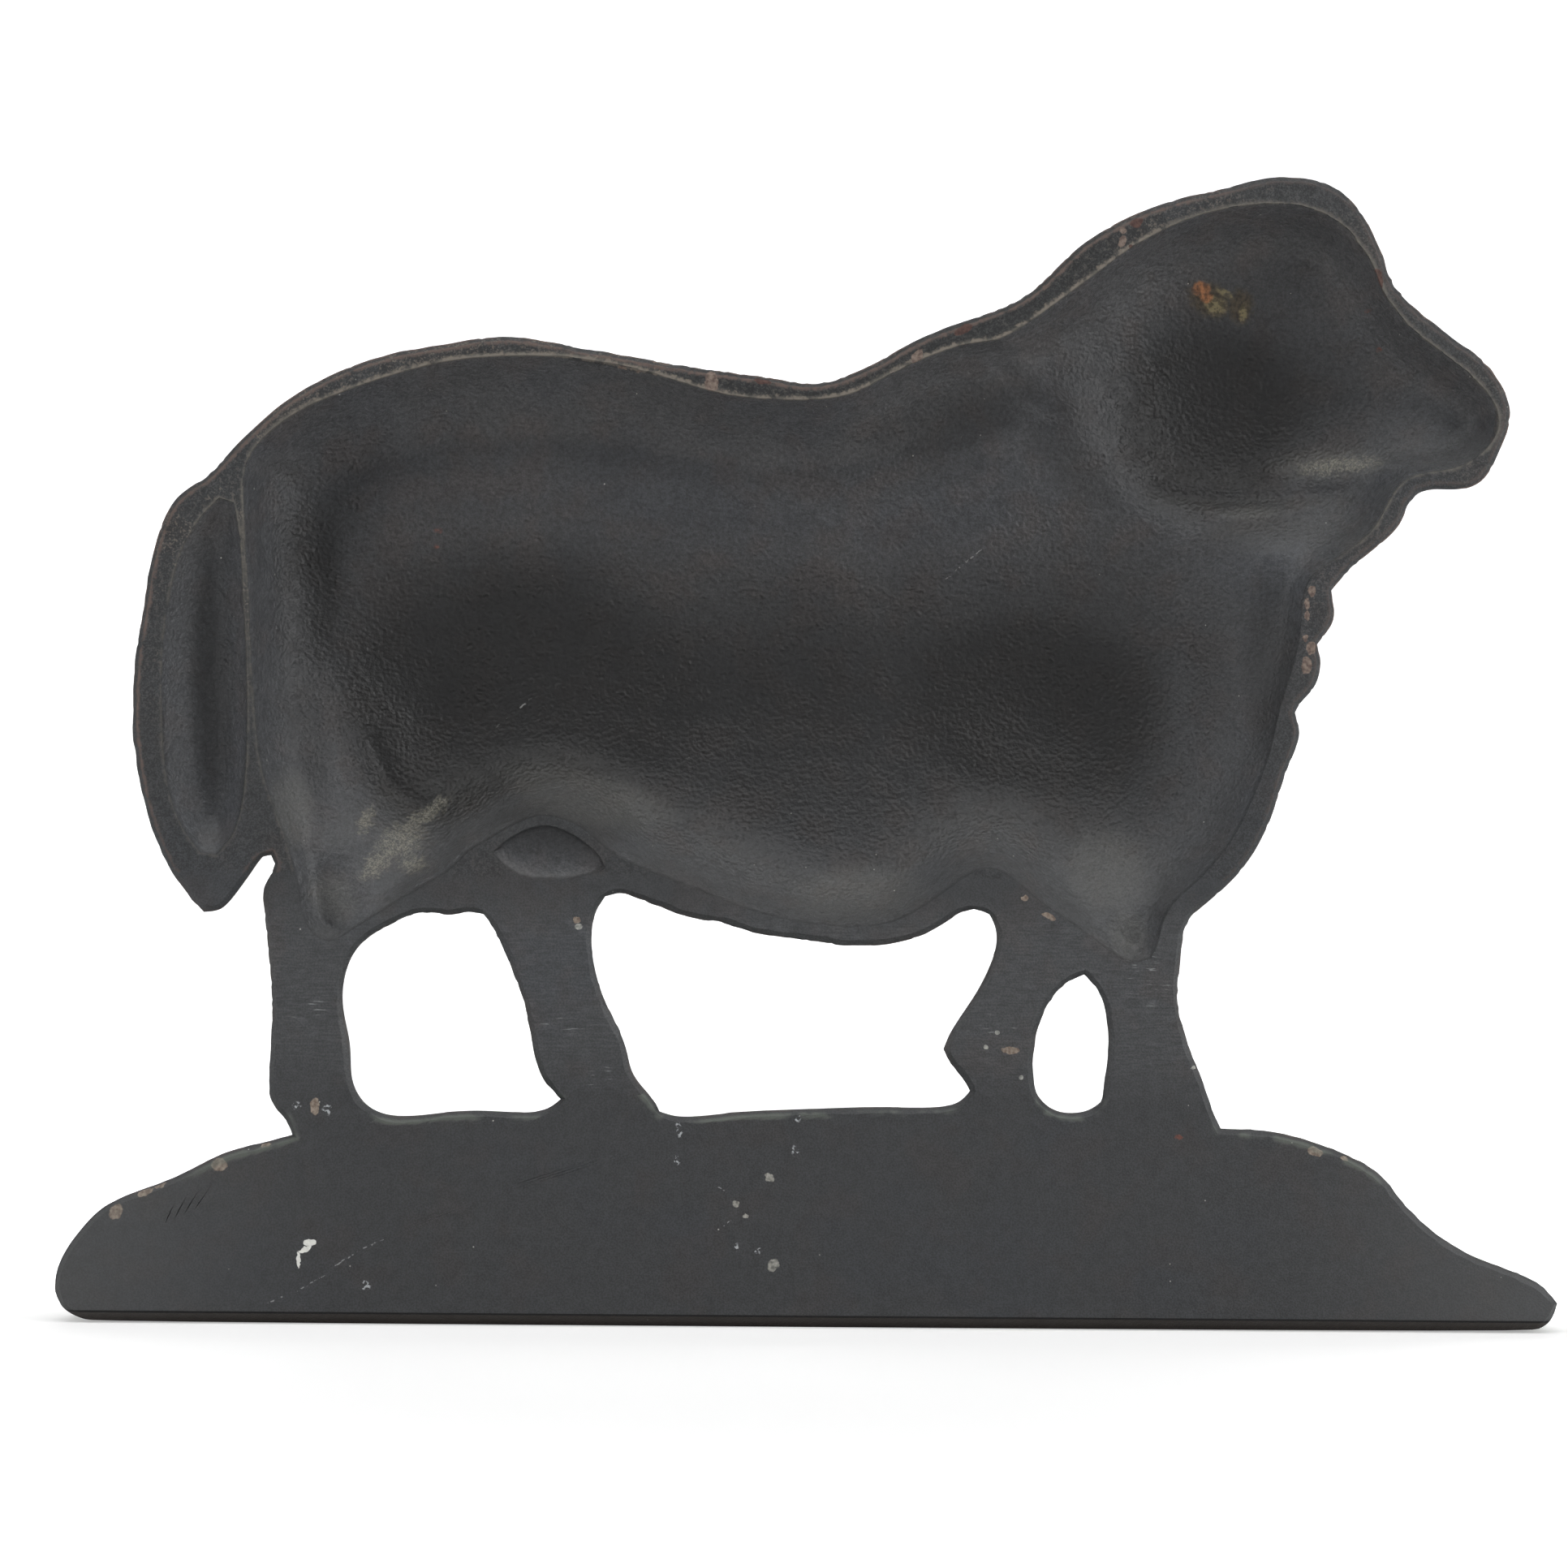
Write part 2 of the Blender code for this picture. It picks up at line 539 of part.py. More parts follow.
def filled(outlines, creases, free):
    """A triangle mesh of the area inside the first outline and outside the others.

    It keeps the outlines and creases as edges and returns its points and faces. The points of
    the outlines come first, in their order.
    """
    lines = list(outlines) + list(creases)
    points = np.vstack(lines + [free])
    edges = []
    start = 0
    for line in lines:
        ring = range(start, start + len(line))
        edges += [(a, b) for a, b in zip(ring, list(ring)[1:] + [start])]
        start += len(line)
    result = delaunay_2d_cdt([tuple(p) for p in points], edges, [], 0, 1e-7)
    new_points, faces, origins = result[0], result[2], result[3]
    if len(new_points) != len(points):
        raise ValueError("two lines of the drawing cross or meet")
    order = [found[0] for found in origins]
    faces = np.array([[order[k] for k in face] for face in faces])
    return points, faces[in_casting(points[faces].mean(axis=1), outlines)]


def free_points(lines, zones, outlines):
    """Points between the lines: rows that follow each line, then a lattice, zone by zone.

    A zone is a test of points, the pitch of its lattice and how far in from the lines its rows
    lie. A point belongs to the first zone that holds it. A line's outward side is its left as
    it is drawn, and its rows lie on the other side.
    """
    found = np.empty((0, 2))
    for number, (zone, pitch, rows) in enumerate(zones):
        batches = [
            (line - outward(line) * row, row * ROW_KEEPS_OFF, pitch * ROW_SPACING)
            for row in rows for line in lines
        ]
        grid = lattice((-LENGTH / 2, 0), (LENGTH / 2, HEIGHT), pitch)
        batches.append((grid, pitch * GRID_SPACING, pitch * GRID_SPACING))
        for points, off_lines, off_others in batches:
            here = zone(points) & in_casting(points, outlines)
            for earlier, _, _ in zones[:number]:
                here &= ~earlier(points)
            points = points[here]
            points = points[np.min([distance(points, line) for line in lines], axis=0) > off_lines]
            if len(found) and len(points):
                gaps = np.linalg.norm(points[:, None] - found[None], axis=2).min(axis=1)
                points = points[gaps > off_others]
            found = np.vstack([found, points])
    return found


def in_casting(points, outlines):
    """Whether each point is inside the first outline and outside the others."""
    found = inside(points, outlines[0])
    for gap in outlines[1:]:
        found &= ~inside(points, gap)
    return found


def on_detail(points):
    """Whether each point is on the head, the tail's tip or the hooves."""
    sheet = drawn(points)
    head = (sheet[:, 0] > HEAD_CORNER[0]) & (sheet[:, 1] > HEAD_CORNER[1])
    under_crest = (mound_top(points) - points[:, 1]) * 1000
    rear, front = HOOVES_FROM_TO
    hooves = np.abs(under_crest) < HOOVES_OFF_CREST
    hooves &= (sheet[:, 0] > rear) & (sheet[:, 0] < front)
    low, high = TAIL_TIP_FROM_TO
    tail_tip = (sheet[:, 0] < TAIL_TIP_FRONT) & (sheet[:, 1] > low) & (sheet[:, 1] < high)
    return head | hooves | tail_tip


def on_mound(points):
    return points[:, 1] < mound_top(points)


def on_mound_end(points):
    return np.abs(drawn(points)[:, 0]) > MOUND_ENDS


def casting_mesh():
    """The whole casting as points and faces, with the front faces last."""
    outlines = [clockwise(silhouette_loop())]
    gaps = (HIND_GAP, BELLY_GAP, FORE_GAP)
    outlines += [clockwise(loop_of(gap, OUTLINE_STEP))[::-1] for gap in gaps]
    on_foot = [loop[:, 1] < 1e-6 for loop in outlines]
    normals = [outward(loop) for loop in outlines]
    for normal, foot in zip(normals, on_foot):
        normal[foot] = (0, -1)

    arris = [np.where(foot, FOOT_ARRIS, BACK_ARRIS)[:, None] for foot in on_foot]
    draft = [np.where(foot, 0, EDGE_DRAFT)[:, None] for foot in on_foot]
    back_rings = [loop - normal * a for loop, normal, a in zip(outlines, normals, arris)]
    front_rings = [loop - normal * d for loop, normal, d in zip(outlines, normals, draft)]

    edges = [clockwise(loop_of(hollow[0], HOLLOW_STEP_LENGTH)) for hollow in HOLLOWS.values()]
    steps = [loop - outward(loop) * HOLLOW_STEP_DRAFT for loop in edges]
    in_hollow = np.vstack([
        free_points([step], [(lambda p: p[:, 1] > 0, *hollow[4:])], [step])
        for step, hollow in zip(steps, HOLLOWS.values())
    ])
    back, back_faces = filled(back_rings, edges + steps, in_hollow)

    zones = [
        (on_mound_end, MOUND_END_GRID, MOUND_END_ROWS),
        (on_detail, DETAIL_GRID, FRONT_ROWS),
        (on_mound, MOUND_GRID, MOUND_ROWS),
        (lambda p: p[:, 1] > 0, FIGURE_GRID, FRONT_ROWS),
    ]
    on_front = free_points(front_rings, zones, front_rings)
    front, front_faces = filled(front_rings, [], on_front)

    ring = np.vstack(outlines)
    ring_y = np.concatenate([a[:, 0] for a in arris])
    back_plane = -MOUND_DEPTH / 2
    points = np.vstack([
        np.column_stack([back[:, 0], back_plane + back_depth(back), back[:, 1]]),
        np.column_stack([ring[:, 0], back_plane + ring_y, ring[:, 1]]),
        np.column_stack([front[:, 0], back_plane + front_depth(front, front_rings), front[:, 1]]),
    ])

    points[:, 0] -= (points[:, 0].min() + points[:, 0].max()) / 2
    middle_start, front_start = len(back), len(back) + len(ring)
    faces = [tuple(face) for face in back_faces]
    start = 0
    for loop in outlines:
        for k in range(len(loop)):
            a, b = start + k, start + (k + 1) % len(loop)
            faces.append((a, b, middle_start + b, middle_start + a))
            faces.append((middle_start + a, middle_start + b, front_start + b, front_start + a))
        start += len(loop)
    back_count = len(faces)
    faces += [tuple(face[::-1] + front_start) for face in front_faces]
    return points, faces, back_count


def paint(name, colour, roughness, metallic=0.0):
    material = bpy.data.materials.new(name)
    material.use_nodes = True
    shader = material.node_tree.nodes["Principled BSDF"]
    shader.inputs["Base Color"].default_value = (*colour, 1)
    shader.inputs["Roughness"].default_value = roughness
    shader.inputs["Metallic"].default_value = metallic
    return material


def make_casting():
    points, faces, back_count = casting_mesh()
    mesh = bpy.data.meshes.new("sheep_casting")
    mesh.from_pydata(points.tolist(), [], faces)
    shape = bmesh.new()
    shape.from_mesh(mesh)
    bmesh.ops.recalc_face_normals(shape, faces=shape.faces)
    shape.to_mesh(mesh)
    shape.free()

    mesh.materials.append(paint("back_black", (0.045, 0.048, 0.050), 0.45))
    mesh.materials.append(paint("fleece_white", (0.70, 0.68, 0.66), 0.50))
    mesh.materials.append(paint("face_black", (0.030, 0.028, 0.028), 0.40))
    mesh.materials.append(paint("mound_green", (0.16, 0.25, 0.15), 0.50))
    middles = np.array([list(face.center) for face in mesh.polygons])[:, [0, 2]]
    woolly = wool_share(middles) > 0.5
    grassy = middles[:, 1] < mound_top(middles)
    for face in mesh.polygons:
        if face.index >= back_count:
            face.material_index = 3 if grassy[face.index] else 1 if woolly[face.index] else 2

    casting = bpy.data.objects.new("sheep_casting", mesh)
    bpy.context.scene.collection.objects.link(casting)
    mesh.shade_smooth()
    mesh.set_sharp_from_angle(angle=math.radians(40))
    return casting


for old in list(bpy.data.objects):
    bpy.data.objects.remove(old)

make_casting()
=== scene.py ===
# Cast iron sheep doorstop, seen from behind: one hollow-backed casting, with its old colours on
# the front and a satin black brushed over the flat back and the hollows.
import math

import bmesh
import bpy
import mathutils
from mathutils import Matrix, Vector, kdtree


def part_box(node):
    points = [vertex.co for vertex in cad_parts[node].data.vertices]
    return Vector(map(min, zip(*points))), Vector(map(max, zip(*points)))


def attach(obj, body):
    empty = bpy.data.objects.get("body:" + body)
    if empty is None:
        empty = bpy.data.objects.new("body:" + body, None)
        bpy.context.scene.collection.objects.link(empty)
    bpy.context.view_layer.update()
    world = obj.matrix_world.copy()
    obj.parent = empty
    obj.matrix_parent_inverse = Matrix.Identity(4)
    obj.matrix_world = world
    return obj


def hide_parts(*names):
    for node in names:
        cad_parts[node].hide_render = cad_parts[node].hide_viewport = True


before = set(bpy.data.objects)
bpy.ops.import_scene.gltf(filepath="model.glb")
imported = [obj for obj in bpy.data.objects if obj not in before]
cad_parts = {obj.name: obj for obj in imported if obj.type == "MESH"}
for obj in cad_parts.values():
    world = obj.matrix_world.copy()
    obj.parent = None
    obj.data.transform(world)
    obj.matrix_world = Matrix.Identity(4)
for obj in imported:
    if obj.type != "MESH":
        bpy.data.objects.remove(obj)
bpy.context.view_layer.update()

# The casting: one piece of grey iron, poured in sand with its flat back at the mould's parting.
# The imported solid's facets are rounded off, and the lips of its hollows are kept crisp.
casting_low, casting_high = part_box("sheep_casting")
back_plane = casting_low.y
merged_within = 2e-6
nearly_flat, nearly_square = math.radians(14), math.radians(65)
crisp_bend = math.radians(38)
rounding_levels = 2

bpy.ops.object.select_all(action="DESELECT")
packed_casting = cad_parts["sheep_casting"]
packed_casting.select_set(True)
bpy.context.view_layer.objects.active = packed_casting
bpy.ops.object.duplicate()
casting = bpy.context.object
casting.name = casting.data.name = "painted_casting"
bpy.ops.object.mode_set(mode="EDIT")
bpy.ops.mesh.select_all(action="SELECT")
bpy.ops.mesh.remove_doubles(threshold=merged_within)
bpy.ops.mesh.tris_convert_to_quads(face_threshold=nearly_flat, shape_threshold=nearly_square)
bpy.ops.mesh.select_all(action="DESELECT")
bpy.ops.mesh.select_mode(type="EDGE")
bpy.ops.mesh.edges_select_sharp(sharpness=crisp_bend)
bpy.ops.transform.edge_crease(value=1.0)
bpy.ops.object.mode_set(mode="OBJECT")

# The sharp edges on the flat back draw two kinds of line, kept as points: the lips of the three
# hollows, and the arrises of the outline and of the gaps between the legs.
lowest_lip = 0.05
line_step = 0.0005
on_back_within = 1e-4
drawn_back = bmesh.new()
drawn_back.from_mesh(casting.data)
creases = drawn_back.edges.layers.float["crease_edge"]
sharp_on_back = {
    edge for edge in drawn_back.edges
    if edge[creases] > 0 and all(end.co.y < back_plane + on_back_within for end in edge.verts)
}
lip_points, arris_points = [], []
while sharp_on_back:
    loop, growing = [], {sharp_on_back.pop()}
    while growing:
        loop += growing
        growing = {near for edge in growing for end in edge.verts for near in end.link_edges}
        growing &= sharp_on_back
        sharp_on_back -= growing
    is_lip = min(end.co.z for edge in loop for end in edge.verts) > lowest_lip
    for edge in loop:
        start, end = (vertex.co for vertex in edge.verts)
        steps = max(1, round(edge.calc_length() / line_step))
        (lip_points if is_lip else arris_points).extend(
            start.lerp(end, step / steps) for step in range(steps)
        )
drawn_back.free()


def nearest_among(points):
    """A search tree of the points."""
    tree = kdtree.KDTree(len(points))
    for index, point in enumerate(points):
        tree.insert(point, index)
    tree.balance()
    return tree


to_lip, to_arris = nearest_among(lip_points), nearest_among(arris_points)
rounding = casting.modifiers.new("rounding", "SUBSURF")
rounding.levels = rounding.render_levels = rounding_levels
bpy.ops.object.modifier_apply(modifier="rounding")

# The hollows' insides are rubbed smooth, away from their lips, as sand leaves no facets.
# Distances to a lip and to an arris are in mm.
turned_back = -0.02
inside_from = back_plane + 0.0005
rubbed_off_lip = (0.7, 2.2)
rubbed_off_arris = 1.3
inside_hollows = casting.vertex_groups.new(name="inside_hollows")
for vertex in casting.data.vertices:
    if vertex.co.z > lowest_lip and vertex.normal.y < turned_back and vertex.co.y > inside_from:
        off_lip = 1000 * to_lip.find(vertex.co)[2]
        off_arris = 1000 * to_arris.find(vertex.co)[2]
        share = (off_lip - rubbed_off_lip[0]) / (rubbed_off_lip[1] - rubbed_off_lip[0])
        if share > 0 and off_arris > rubbed_off_arris:
            inside_hollows.add([vertex.index], min(share, 1.0), "REPLACE")
rubbed = casting.modifiers.new("rubbed", "SMOOTH")
rubbed.factor = 0.5
rubbed.iterations = 14
rubbed.vertex_group = "inside_hollows"
bpy.ops.object.modifier_apply(modifier="rubbed")

# The fleece: short round curls cast into the front of the body, the neck and the tail. The bare
# face, the ear, the legs, the mound and the rounded edge of the relief are left smooth.
ear_middle = (64.0, 156.8)
ear_half_size = (14.5, 7.5)
ear_turn = math.radians(32)
chin_height = 117
cheek_height = 148
cheek_along = 76
face_bow = 0.0095
curl_size, curl_height = 0.0052, 0.0013
wisp_size, wisp_height = 0.0018, 0.0004
fleece_facing = (0.15, 0.45)
fleece_off_arris = (5.8, 9.0)
fleece_heights = (63, 72)


def smooth_step(low, high, value):
    share = min(max((value - low) / (high - low), 0.0), 1.0)
    return share * share * (3 - 2 * share)


def fleece_share(point, normal, off_arris):
    """1 where the front carries curls, for a point in metres and its distance to the arris in mm."""
    x, z = 1000 * point.x, 1000 * point.z
    across = x - ear_middle[0], z - ear_middle[1]
    along = across[0] * math.cos(ear_turn) + across[1] * math.sin(ear_turn)
    aside = across[1] * math.cos(ear_turn) - across[0] * math.sin(ear_turn)
    off_ear = math.hypot(along / ear_half_size[0], aside / ear_half_size[1])
    past_face_edge = x - (cheek_along + face_bow * (z - cheek_height) ** 2)
    return (
        smooth_step(*fleece_facing, normal.y)
        * smooth_step(*fleece_off_arris, off_arris)
        * smooth_step(*fleece_heights, z)
        * (1 - smooth_step(-2, 1, past_face_edge) * (z > chin_height))
        * smooth_step(0.85, 1.15, off_ear)
    )


fleece = casting.vertex_groups.new(name="fleece")
for vertex in casting.data.vertices:
    share = fleece_share(vertex.co, vertex.normal, 1000 * to_arris.find(vertex.co)[2])
    if share > 0:
        fleece.add([vertex.index], share, "REPLACE")

before_curls = [vertex.co.copy() for vertex in casting.data.vertices]
for name, kind, size, height, middle in (
    ("curls", "VORONOI", curl_size, -curl_height, 0.35),
    ("wisps", "CLOUDS", wisp_size, wisp_height, 0.5),
):
    pattern = bpy.data.textures.new(name, kind)
    pattern.noise_scale = size
    raised = casting.modifiers.new(name, "DISPLACE")
    raised.texture = pattern
    raised.texture_coords = "LOCAL"
    raised.vertex_group = "fleece"
    raised.strength = height
    raised.mid_level = middle
    bpy.ops.object.modifier_apply(modifier=name)

# The hollow's small folds, drawn in mm: shallow creases and low ridges where the pattern's inside
# was carved. Each is a line, its half width and how much deeper it is than the surface round it.
spots_on_stretch = 8
fold_reach = 2.5
folds_from = back_plane + 0.0012
folds = [
    ([(55, 135.5), (60, 134), (68, 133.4), (78, 133.8), (88, 134.8), (94, 136)], 1.1, 0.75),
    ([(75, 138.6), (82, 139.6), (90, 138.9), (98, 137.6)], 1.7, -0.75),
    ([(64, 131.2), (70, 131.0), (76, 131.4), (81, 131.9)], 1.3, -0.60),
    ([(29, 157), (31.5, 153), (35, 149.5), (39, 147)], 1.6, 0.55),
    ([(-74, 141), (-79, 133), (-80.5, 122), (-80, 110), (-77, 99), (-73, 91), (-69, 85)], 4.0, 0.5),
    ([(-71.5, 93), (-69, 87), (-65.5, 83.5), (-60, 81.5)], 1.5, 0.8),
    ([(-79.5, 73), (-74, 77.5), (-68, 78.5), (-61, 75.5)], 2.6, -0.9),
    ([(-62, 70.5), (-56, 74.5), (-50, 80), (-43, 84.5), (-36, 84), (-29, 79)], 1.8, -0.5),
]
folded = {}
for line, half_width, deeper in folds:
    for start, end in zip(line, line[1:]):
        for step in range(spots_on_stretch + 1):
            spot = [a + (b - a) * (step / spots_on_stretch) for a, b in zip(start, end)]
            folded.setdefault((half_width, deeper), []).append((spot[0] / 1000, 0, spot[1] / 1000))
for number, ((half_width, deeper), spots) in enumerate(folded.items()):
    to_fold = nearest_among(spots)
    name = f"fold_{number + 1}"
    group = casting.vertex_groups.new(name=name)
    for vertex in casting.data.vertices:
        if vertex.normal.y < -0.1 and vertex.co.y > folds_from:
            away = 1000 * to_fold.find((vertex.co.x, 0, vertex.co.z))[2] / half_width
            if away < fold_reach:
                group.add([vertex.index], math.exp(-away * away), "REPLACE")
    pressed = casting.modifiers.new(name, "DISPLACE")
    pressed.direction = "Y"
    pressed.vertex_group = name
    pressed.strength = deeper / 1000
    pressed.mid_level = 0.0
    bpy.ops.object.modifier_apply(modifier=name)

# Iron breaks where it is thin: the outline and the neck's lip are a little ragged, and the other
# lips less so. The foot's edges stay straight, because the casting stands on them.
lip_raggedness, neck_raggedness = 0.25, 0.8
neck_from_x, neck_from_z = 8, 150
break_size, break_height = 0.0042, 0.00050
grain_size, grain_height = 0.0016, 0.00028
ragged_edge = casting.vertex_groups.new(name="ragged_edge")
for vertex in casting.data.vertices:
    x, z = 1000 * vertex.co.x, 1000 * vertex.co.z
    on_arris = smooth_step(1.9, 0.9, 1000 * to_arris.find(vertex.co)[2]) * smooth_step(2.4, 3.4, z)
    on_lip = smooth_step(1.0, 0.3, 1000 * to_lip.find(vertex.co)[2])
    at_neck = x > neck_from_x and z > neck_from_z
    share = max(on_arris, on_lip * (neck_raggedness if at_neck else lip_raggedness))
    if share > 0:
        ragged_edge.add([vertex.index], share, "REPLACE")
for name, size, height in (
    ("breaks", break_size, break_height), ("sand_grains", grain_size, grain_height),
):
    pattern = bpy.data.textures.new(name, "CLOUDS")
    pattern.noise_scale = size
    for way in ("X", "Z"):
        raised = casting.modifiers.new(name + way, "DISPLACE")
        raised.texture = pattern
        raised.texture_coords = "LOCAL"
        raised.direction = way
        raised.vertex_group = "ragged_edge"
        raised.strength = height
        bpy.ops.object.modifier_apply(modifier=name + way)
for vertex in casting.data.vertices:
    for way in range(3):
        vertex.co[way] = min(max(vertex.co[way], casting_low[way]), casting_high[way])

# Three measures of the surface that its paint follows, kept as attributes of the mesh: distance to
# the nearest lip and to the nearest arris, in mm, and how high a curl stands, in mm.
for name, values in (
    ("off_lip", [1000 * to_lip.find(vertex.co)[2] for vertex in casting.data.vertices]),
    ("off_arris", [1000 * to_arris.find(vertex.co)[2] for vertex in casting.data.vertices]),
    ("curl", [
        1000 * (vertex.co - start).dot(vertex.normal)
        for vertex, start in zip(casting.data.vertices, before_curls)
    ]),
):
    casting.data.attributes.new(name, "FLOAT", "POINT").data.foreach_set("value", values)
casting.vertex_groups.clear()

shaded_sharp = math.radians(34)
bpy.ops.object.shade_smooth()
bpy.ops.object.mode_set(mode="EDIT")
bpy.ops.mesh.select_all(action="DESELECT")
bpy.ops.mesh.edges_select_sharp(sharpness=shaded_sharp)
bpy.ops.mesh.mark_sharp()
bpy.ops.mesh.select_all(action="SELECT")
bpy.ops.mesh.normals_make_consistent(inside=False)
bpy.ops.object.mode_set(mode="OBJECT")


# The paint is made with a few small tools of its own, and with shader groups that take places in
# mm. The first group measures the place that is painted, for every coat.
def add_node(tree, kind, inputs=None, **settings):
    """A new shader node. An input is a number, a colour or the output of another node."""
    made = tree.nodes.new("ShaderNode" + kind)
    for setting, value in settings.items():
        setattr(made, setting, value)
    for socket, value in (inputs or {}).items():
        if isinstance(value, bpy.types.NodeSocket):
            tree.links.new(value, made.inputs[socket])
        else:
            made.inputs[socket].default_value = value
    return made


def add_group(name, inputs, outputs):
    """An empty shader group with named sockets, with what goes in and the place for what comes out."""
    tree = bpy.data.node_groups.new(name, "ShaderNodeTree")
    for way, sockets in (("INPUT", inputs), ("OUTPUT", outputs)):
        for label, kind in sockets.items():
            tree.interface.new_socket(label, in_out=way, socket_type="NodeSocket" + kind)
    return tree, tree.nodes.new("NodeGroupInput").outputs, tree.nodes.new("NodeGroupOutput").inputs


def reckon(tree, operation, *values):
    return add_node(tree, "Math", dict(enumerate(values)), operation=operation).outputs[0]


def times(tree, first, *others):
    for other in others:
        first = reckon(tree, "MULTIPLY", first, other)
    return first


def ramp(tree, value, low, high, to_low=0.0, to_high=1.0):
    """Goes smoothly from to_low to to_high while the value goes from low to high."""
    limits = {"Value": value, "From Min": low, "From Max": high, "To Min": to_low, "To Max": to_high}
    return add_node(tree, "MapRange", limits, interpolation_type="SMOOTHSTEP").outputs["Result"]


def noise(tree, where, per_mm, detail=1.0, output="Fac"):
    inputs = {"Vector": where, "Scale": per_mm, "Detail": detail}
    return add_node(tree, "TexNoise", inputs).outputs[output]


def stretched(tree, where, scale):
    return add_node(tree, "VectorMath", {0: where, 1: scale}, operation="MULTIPLY").outputs[0]


def lay(tree, mask, under, over, blend="MIX"):
    """A coat of colour over another, where the mask says."""
    inputs = {0: mask, 6: under, 7: over}
    return add_node(tree, "Mix", inputs, data_type="RGBA", blend_type=blend).outputs[2]


def tint(tree, mask, under, by):
    """A colour multiplied by another, where the mask says."""
    return lay(tree, mask, under, by, "MULTIPLY")


def shade(tree, under, value):
    """A colour made darker or lighter by a value."""
    return tint(tree, 1.0, under, add_node(tree, "CombineXYZ", {0: value, 1: value, 2: value}).outputs[0])


def colour(red, green, blue):
    """A colour that is written as it is seen, 0 to 255, as Blender's own."""
    return tuple(((c / 255 + 0.055) / 1.055) ** 2.4 for c in (red, green, blue)) + (1,)


measures, _, measured = add_group("measures", {}, {
    "Place": "Vector", "Along": "Float", "Height": "Float", "Off Back": "Float", "Facing Up": "Float",
    "Off Lip": "Float", "Off Arris": "Float", "Cloud": "Float", "Patchy": "Float", "Blotch": "Float",
    "Crumb": "Float", "Grit": "Float", "Ragged": "Vector",
})
coordinates = add_node(measures, "TexCoord")
place = add_node(
    measures, "VectorMath", {0: coordinates.outputs["Object"], "Scale": 1000.0}, operation="SCALE"
).outputs[0]
x, y, z = add_node(measures, "SeparateXYZ", {0: place}).outputs
facing = add_node(measures, "SeparateXYZ", {0: coordinates.outputs["Normal"]})
for label, value in {
    "Place": place, "Along": x, "Height": z, "Facing Up": facing.outputs[2],
    "Off Back": reckon(measures, "SUBTRACT", y, 1000 * back_plane),
    "Off Lip": add_node(measures, "Attribute", attribute_name="off_lip").outputs["Fac"],
    "Off Arris": add_node(measures, "Attribute", attribute_name="off_arris").outputs["Fac"],
    "Cloud": noise(measures, place, 0.045),
    "Patchy": noise(measures, place, 0.16, 2.0),
    "Blotch": noise(measures, place, 0.55, 2.0),
    "Crumb": noise(measures, place, 1.5, 2.0),
    "Grit": noise(measures, place, 3.6),
    "Ragged": add_node(
        measures, "VectorMath", {0: noise(measures, place, 1.2, 2.0, "Color"), 1: (0.5, 0.5, 0.5)},
        operation="SUBTRACT",
    ).outputs[0],
}.items():
    measures.links.new(value, measured[label])


def measure(tree):
    return add_node(tree, "Group", node_tree=measures).outputs


# A mark on the paint is an oval with a ragged outline. Along and Across are its directions, each
# divided by half its size that way, and Reach is 1 on its outline and 0 in its middle.
mark, given, mark_out = add_group(
    "ragged_mark", {"Torn": "Vector", "Place": "Vector", "Along": "Vector", "Across": "Vector"},
    {"Reach": "Float"},
)
centred = add_node(
    mark, "VectorMath", {0: given["Torn"], 1: given["Place"]}, operation="SUBTRACT"
).outputs[0]
along, across = (
    add_node(mark, "VectorMath", {0: centred, 1: given[way]}, operation="DOT_PRODUCT").outputs["Value"]
    for way in ("Along", "Across")
)
mark.links.new(
    reckon(mark, "MULTIPLY_ADD", along, along, reckon(mark, "MULTIPLY", across, across)),
    mark_out["Reach"],
)


def marks(tree, seen, places, softness=0.3, tear=0.8, broken=0.0):
    """The mask of marks, each its x and z, half width, half height and turn in degrees."""
    torn = add_node(
        tree, "VectorMath", {0: seen["Ragged"], 1: (tear, tear, tear), 2: seen["Place"]},
        operation="MULTIPLY_ADD",
    ).outputs[0]
    reach = None
    for at_x, at_z, half_width, half_height, turn in places:
        c, s = math.cos(math.radians(turn)), math.sin(math.radians(turn))
        made = add_node(tree, "Group", node_tree=mark)
        tree.links.new(torn, made.inputs["Torn"])
        made.inputs["Place"].default_value = (at_x, 0, at_z)
        made.inputs["Along"].default_value = (c / half_width, 0, s / half_width)
        made.inputs["Across"].default_value = (-s / half_height, 0, c / half_height)
        reach = made.outputs[0] if reach is None else reckon(tree, "MINIMUM", reach, made.outputs[0])
    mask = ramp(tree, reach, 1.0, 1.0 - softness)
    if broken:
        mask = times(tree, mask, ramp(tree, seen["Crumb"], 0.50, 0.58, 1 - broken, 1.0))
    return mask


# The black: a thin brushed coat, even on the flats, with a fine grain of sand and a few specks of
# dust. It gives its colour, roughness and grain.
coat, _, coat_out = add_group(
    "black_coat", {}, {"Color": "Color", "Roughness": "Float", "Grain": "Float"}
)
seen = measure(coat)
black_on_flats = (0.0485, 0.0500, 0.0520, 1)
browner, bluer = (1.12, 0.98, 0.92, 1), (0.95, 1.01, 1.10, 1)
speck_grey = colour(170, 170, 162)
black = tint(coat, ramp(coat, seen["Patchy"], 0.50, 0.66, 0.0, 0.35), black_on_flats, browner)
black = tint(coat, ramp(coat, seen["Cloud"], 0.52, 0.66, 0.0, 0.30), black, bluer)
mottle = times(
    coat, ramp(coat, seen["Blotch"], 0.3, 0.7, 0.93, 1.07), ramp(coat, seen["Grit"], 0.3, 0.7, 0.82, 1.18)
)
black = shade(coat, black, mottle)
specks = add_node(coat, "TexVoronoi", {"Vector": seen["Place"], "Scale": 0.36}).outputs
chosen = add_node(coat, "SeparateXYZ", {0: specks["Color"]}).outputs[0]
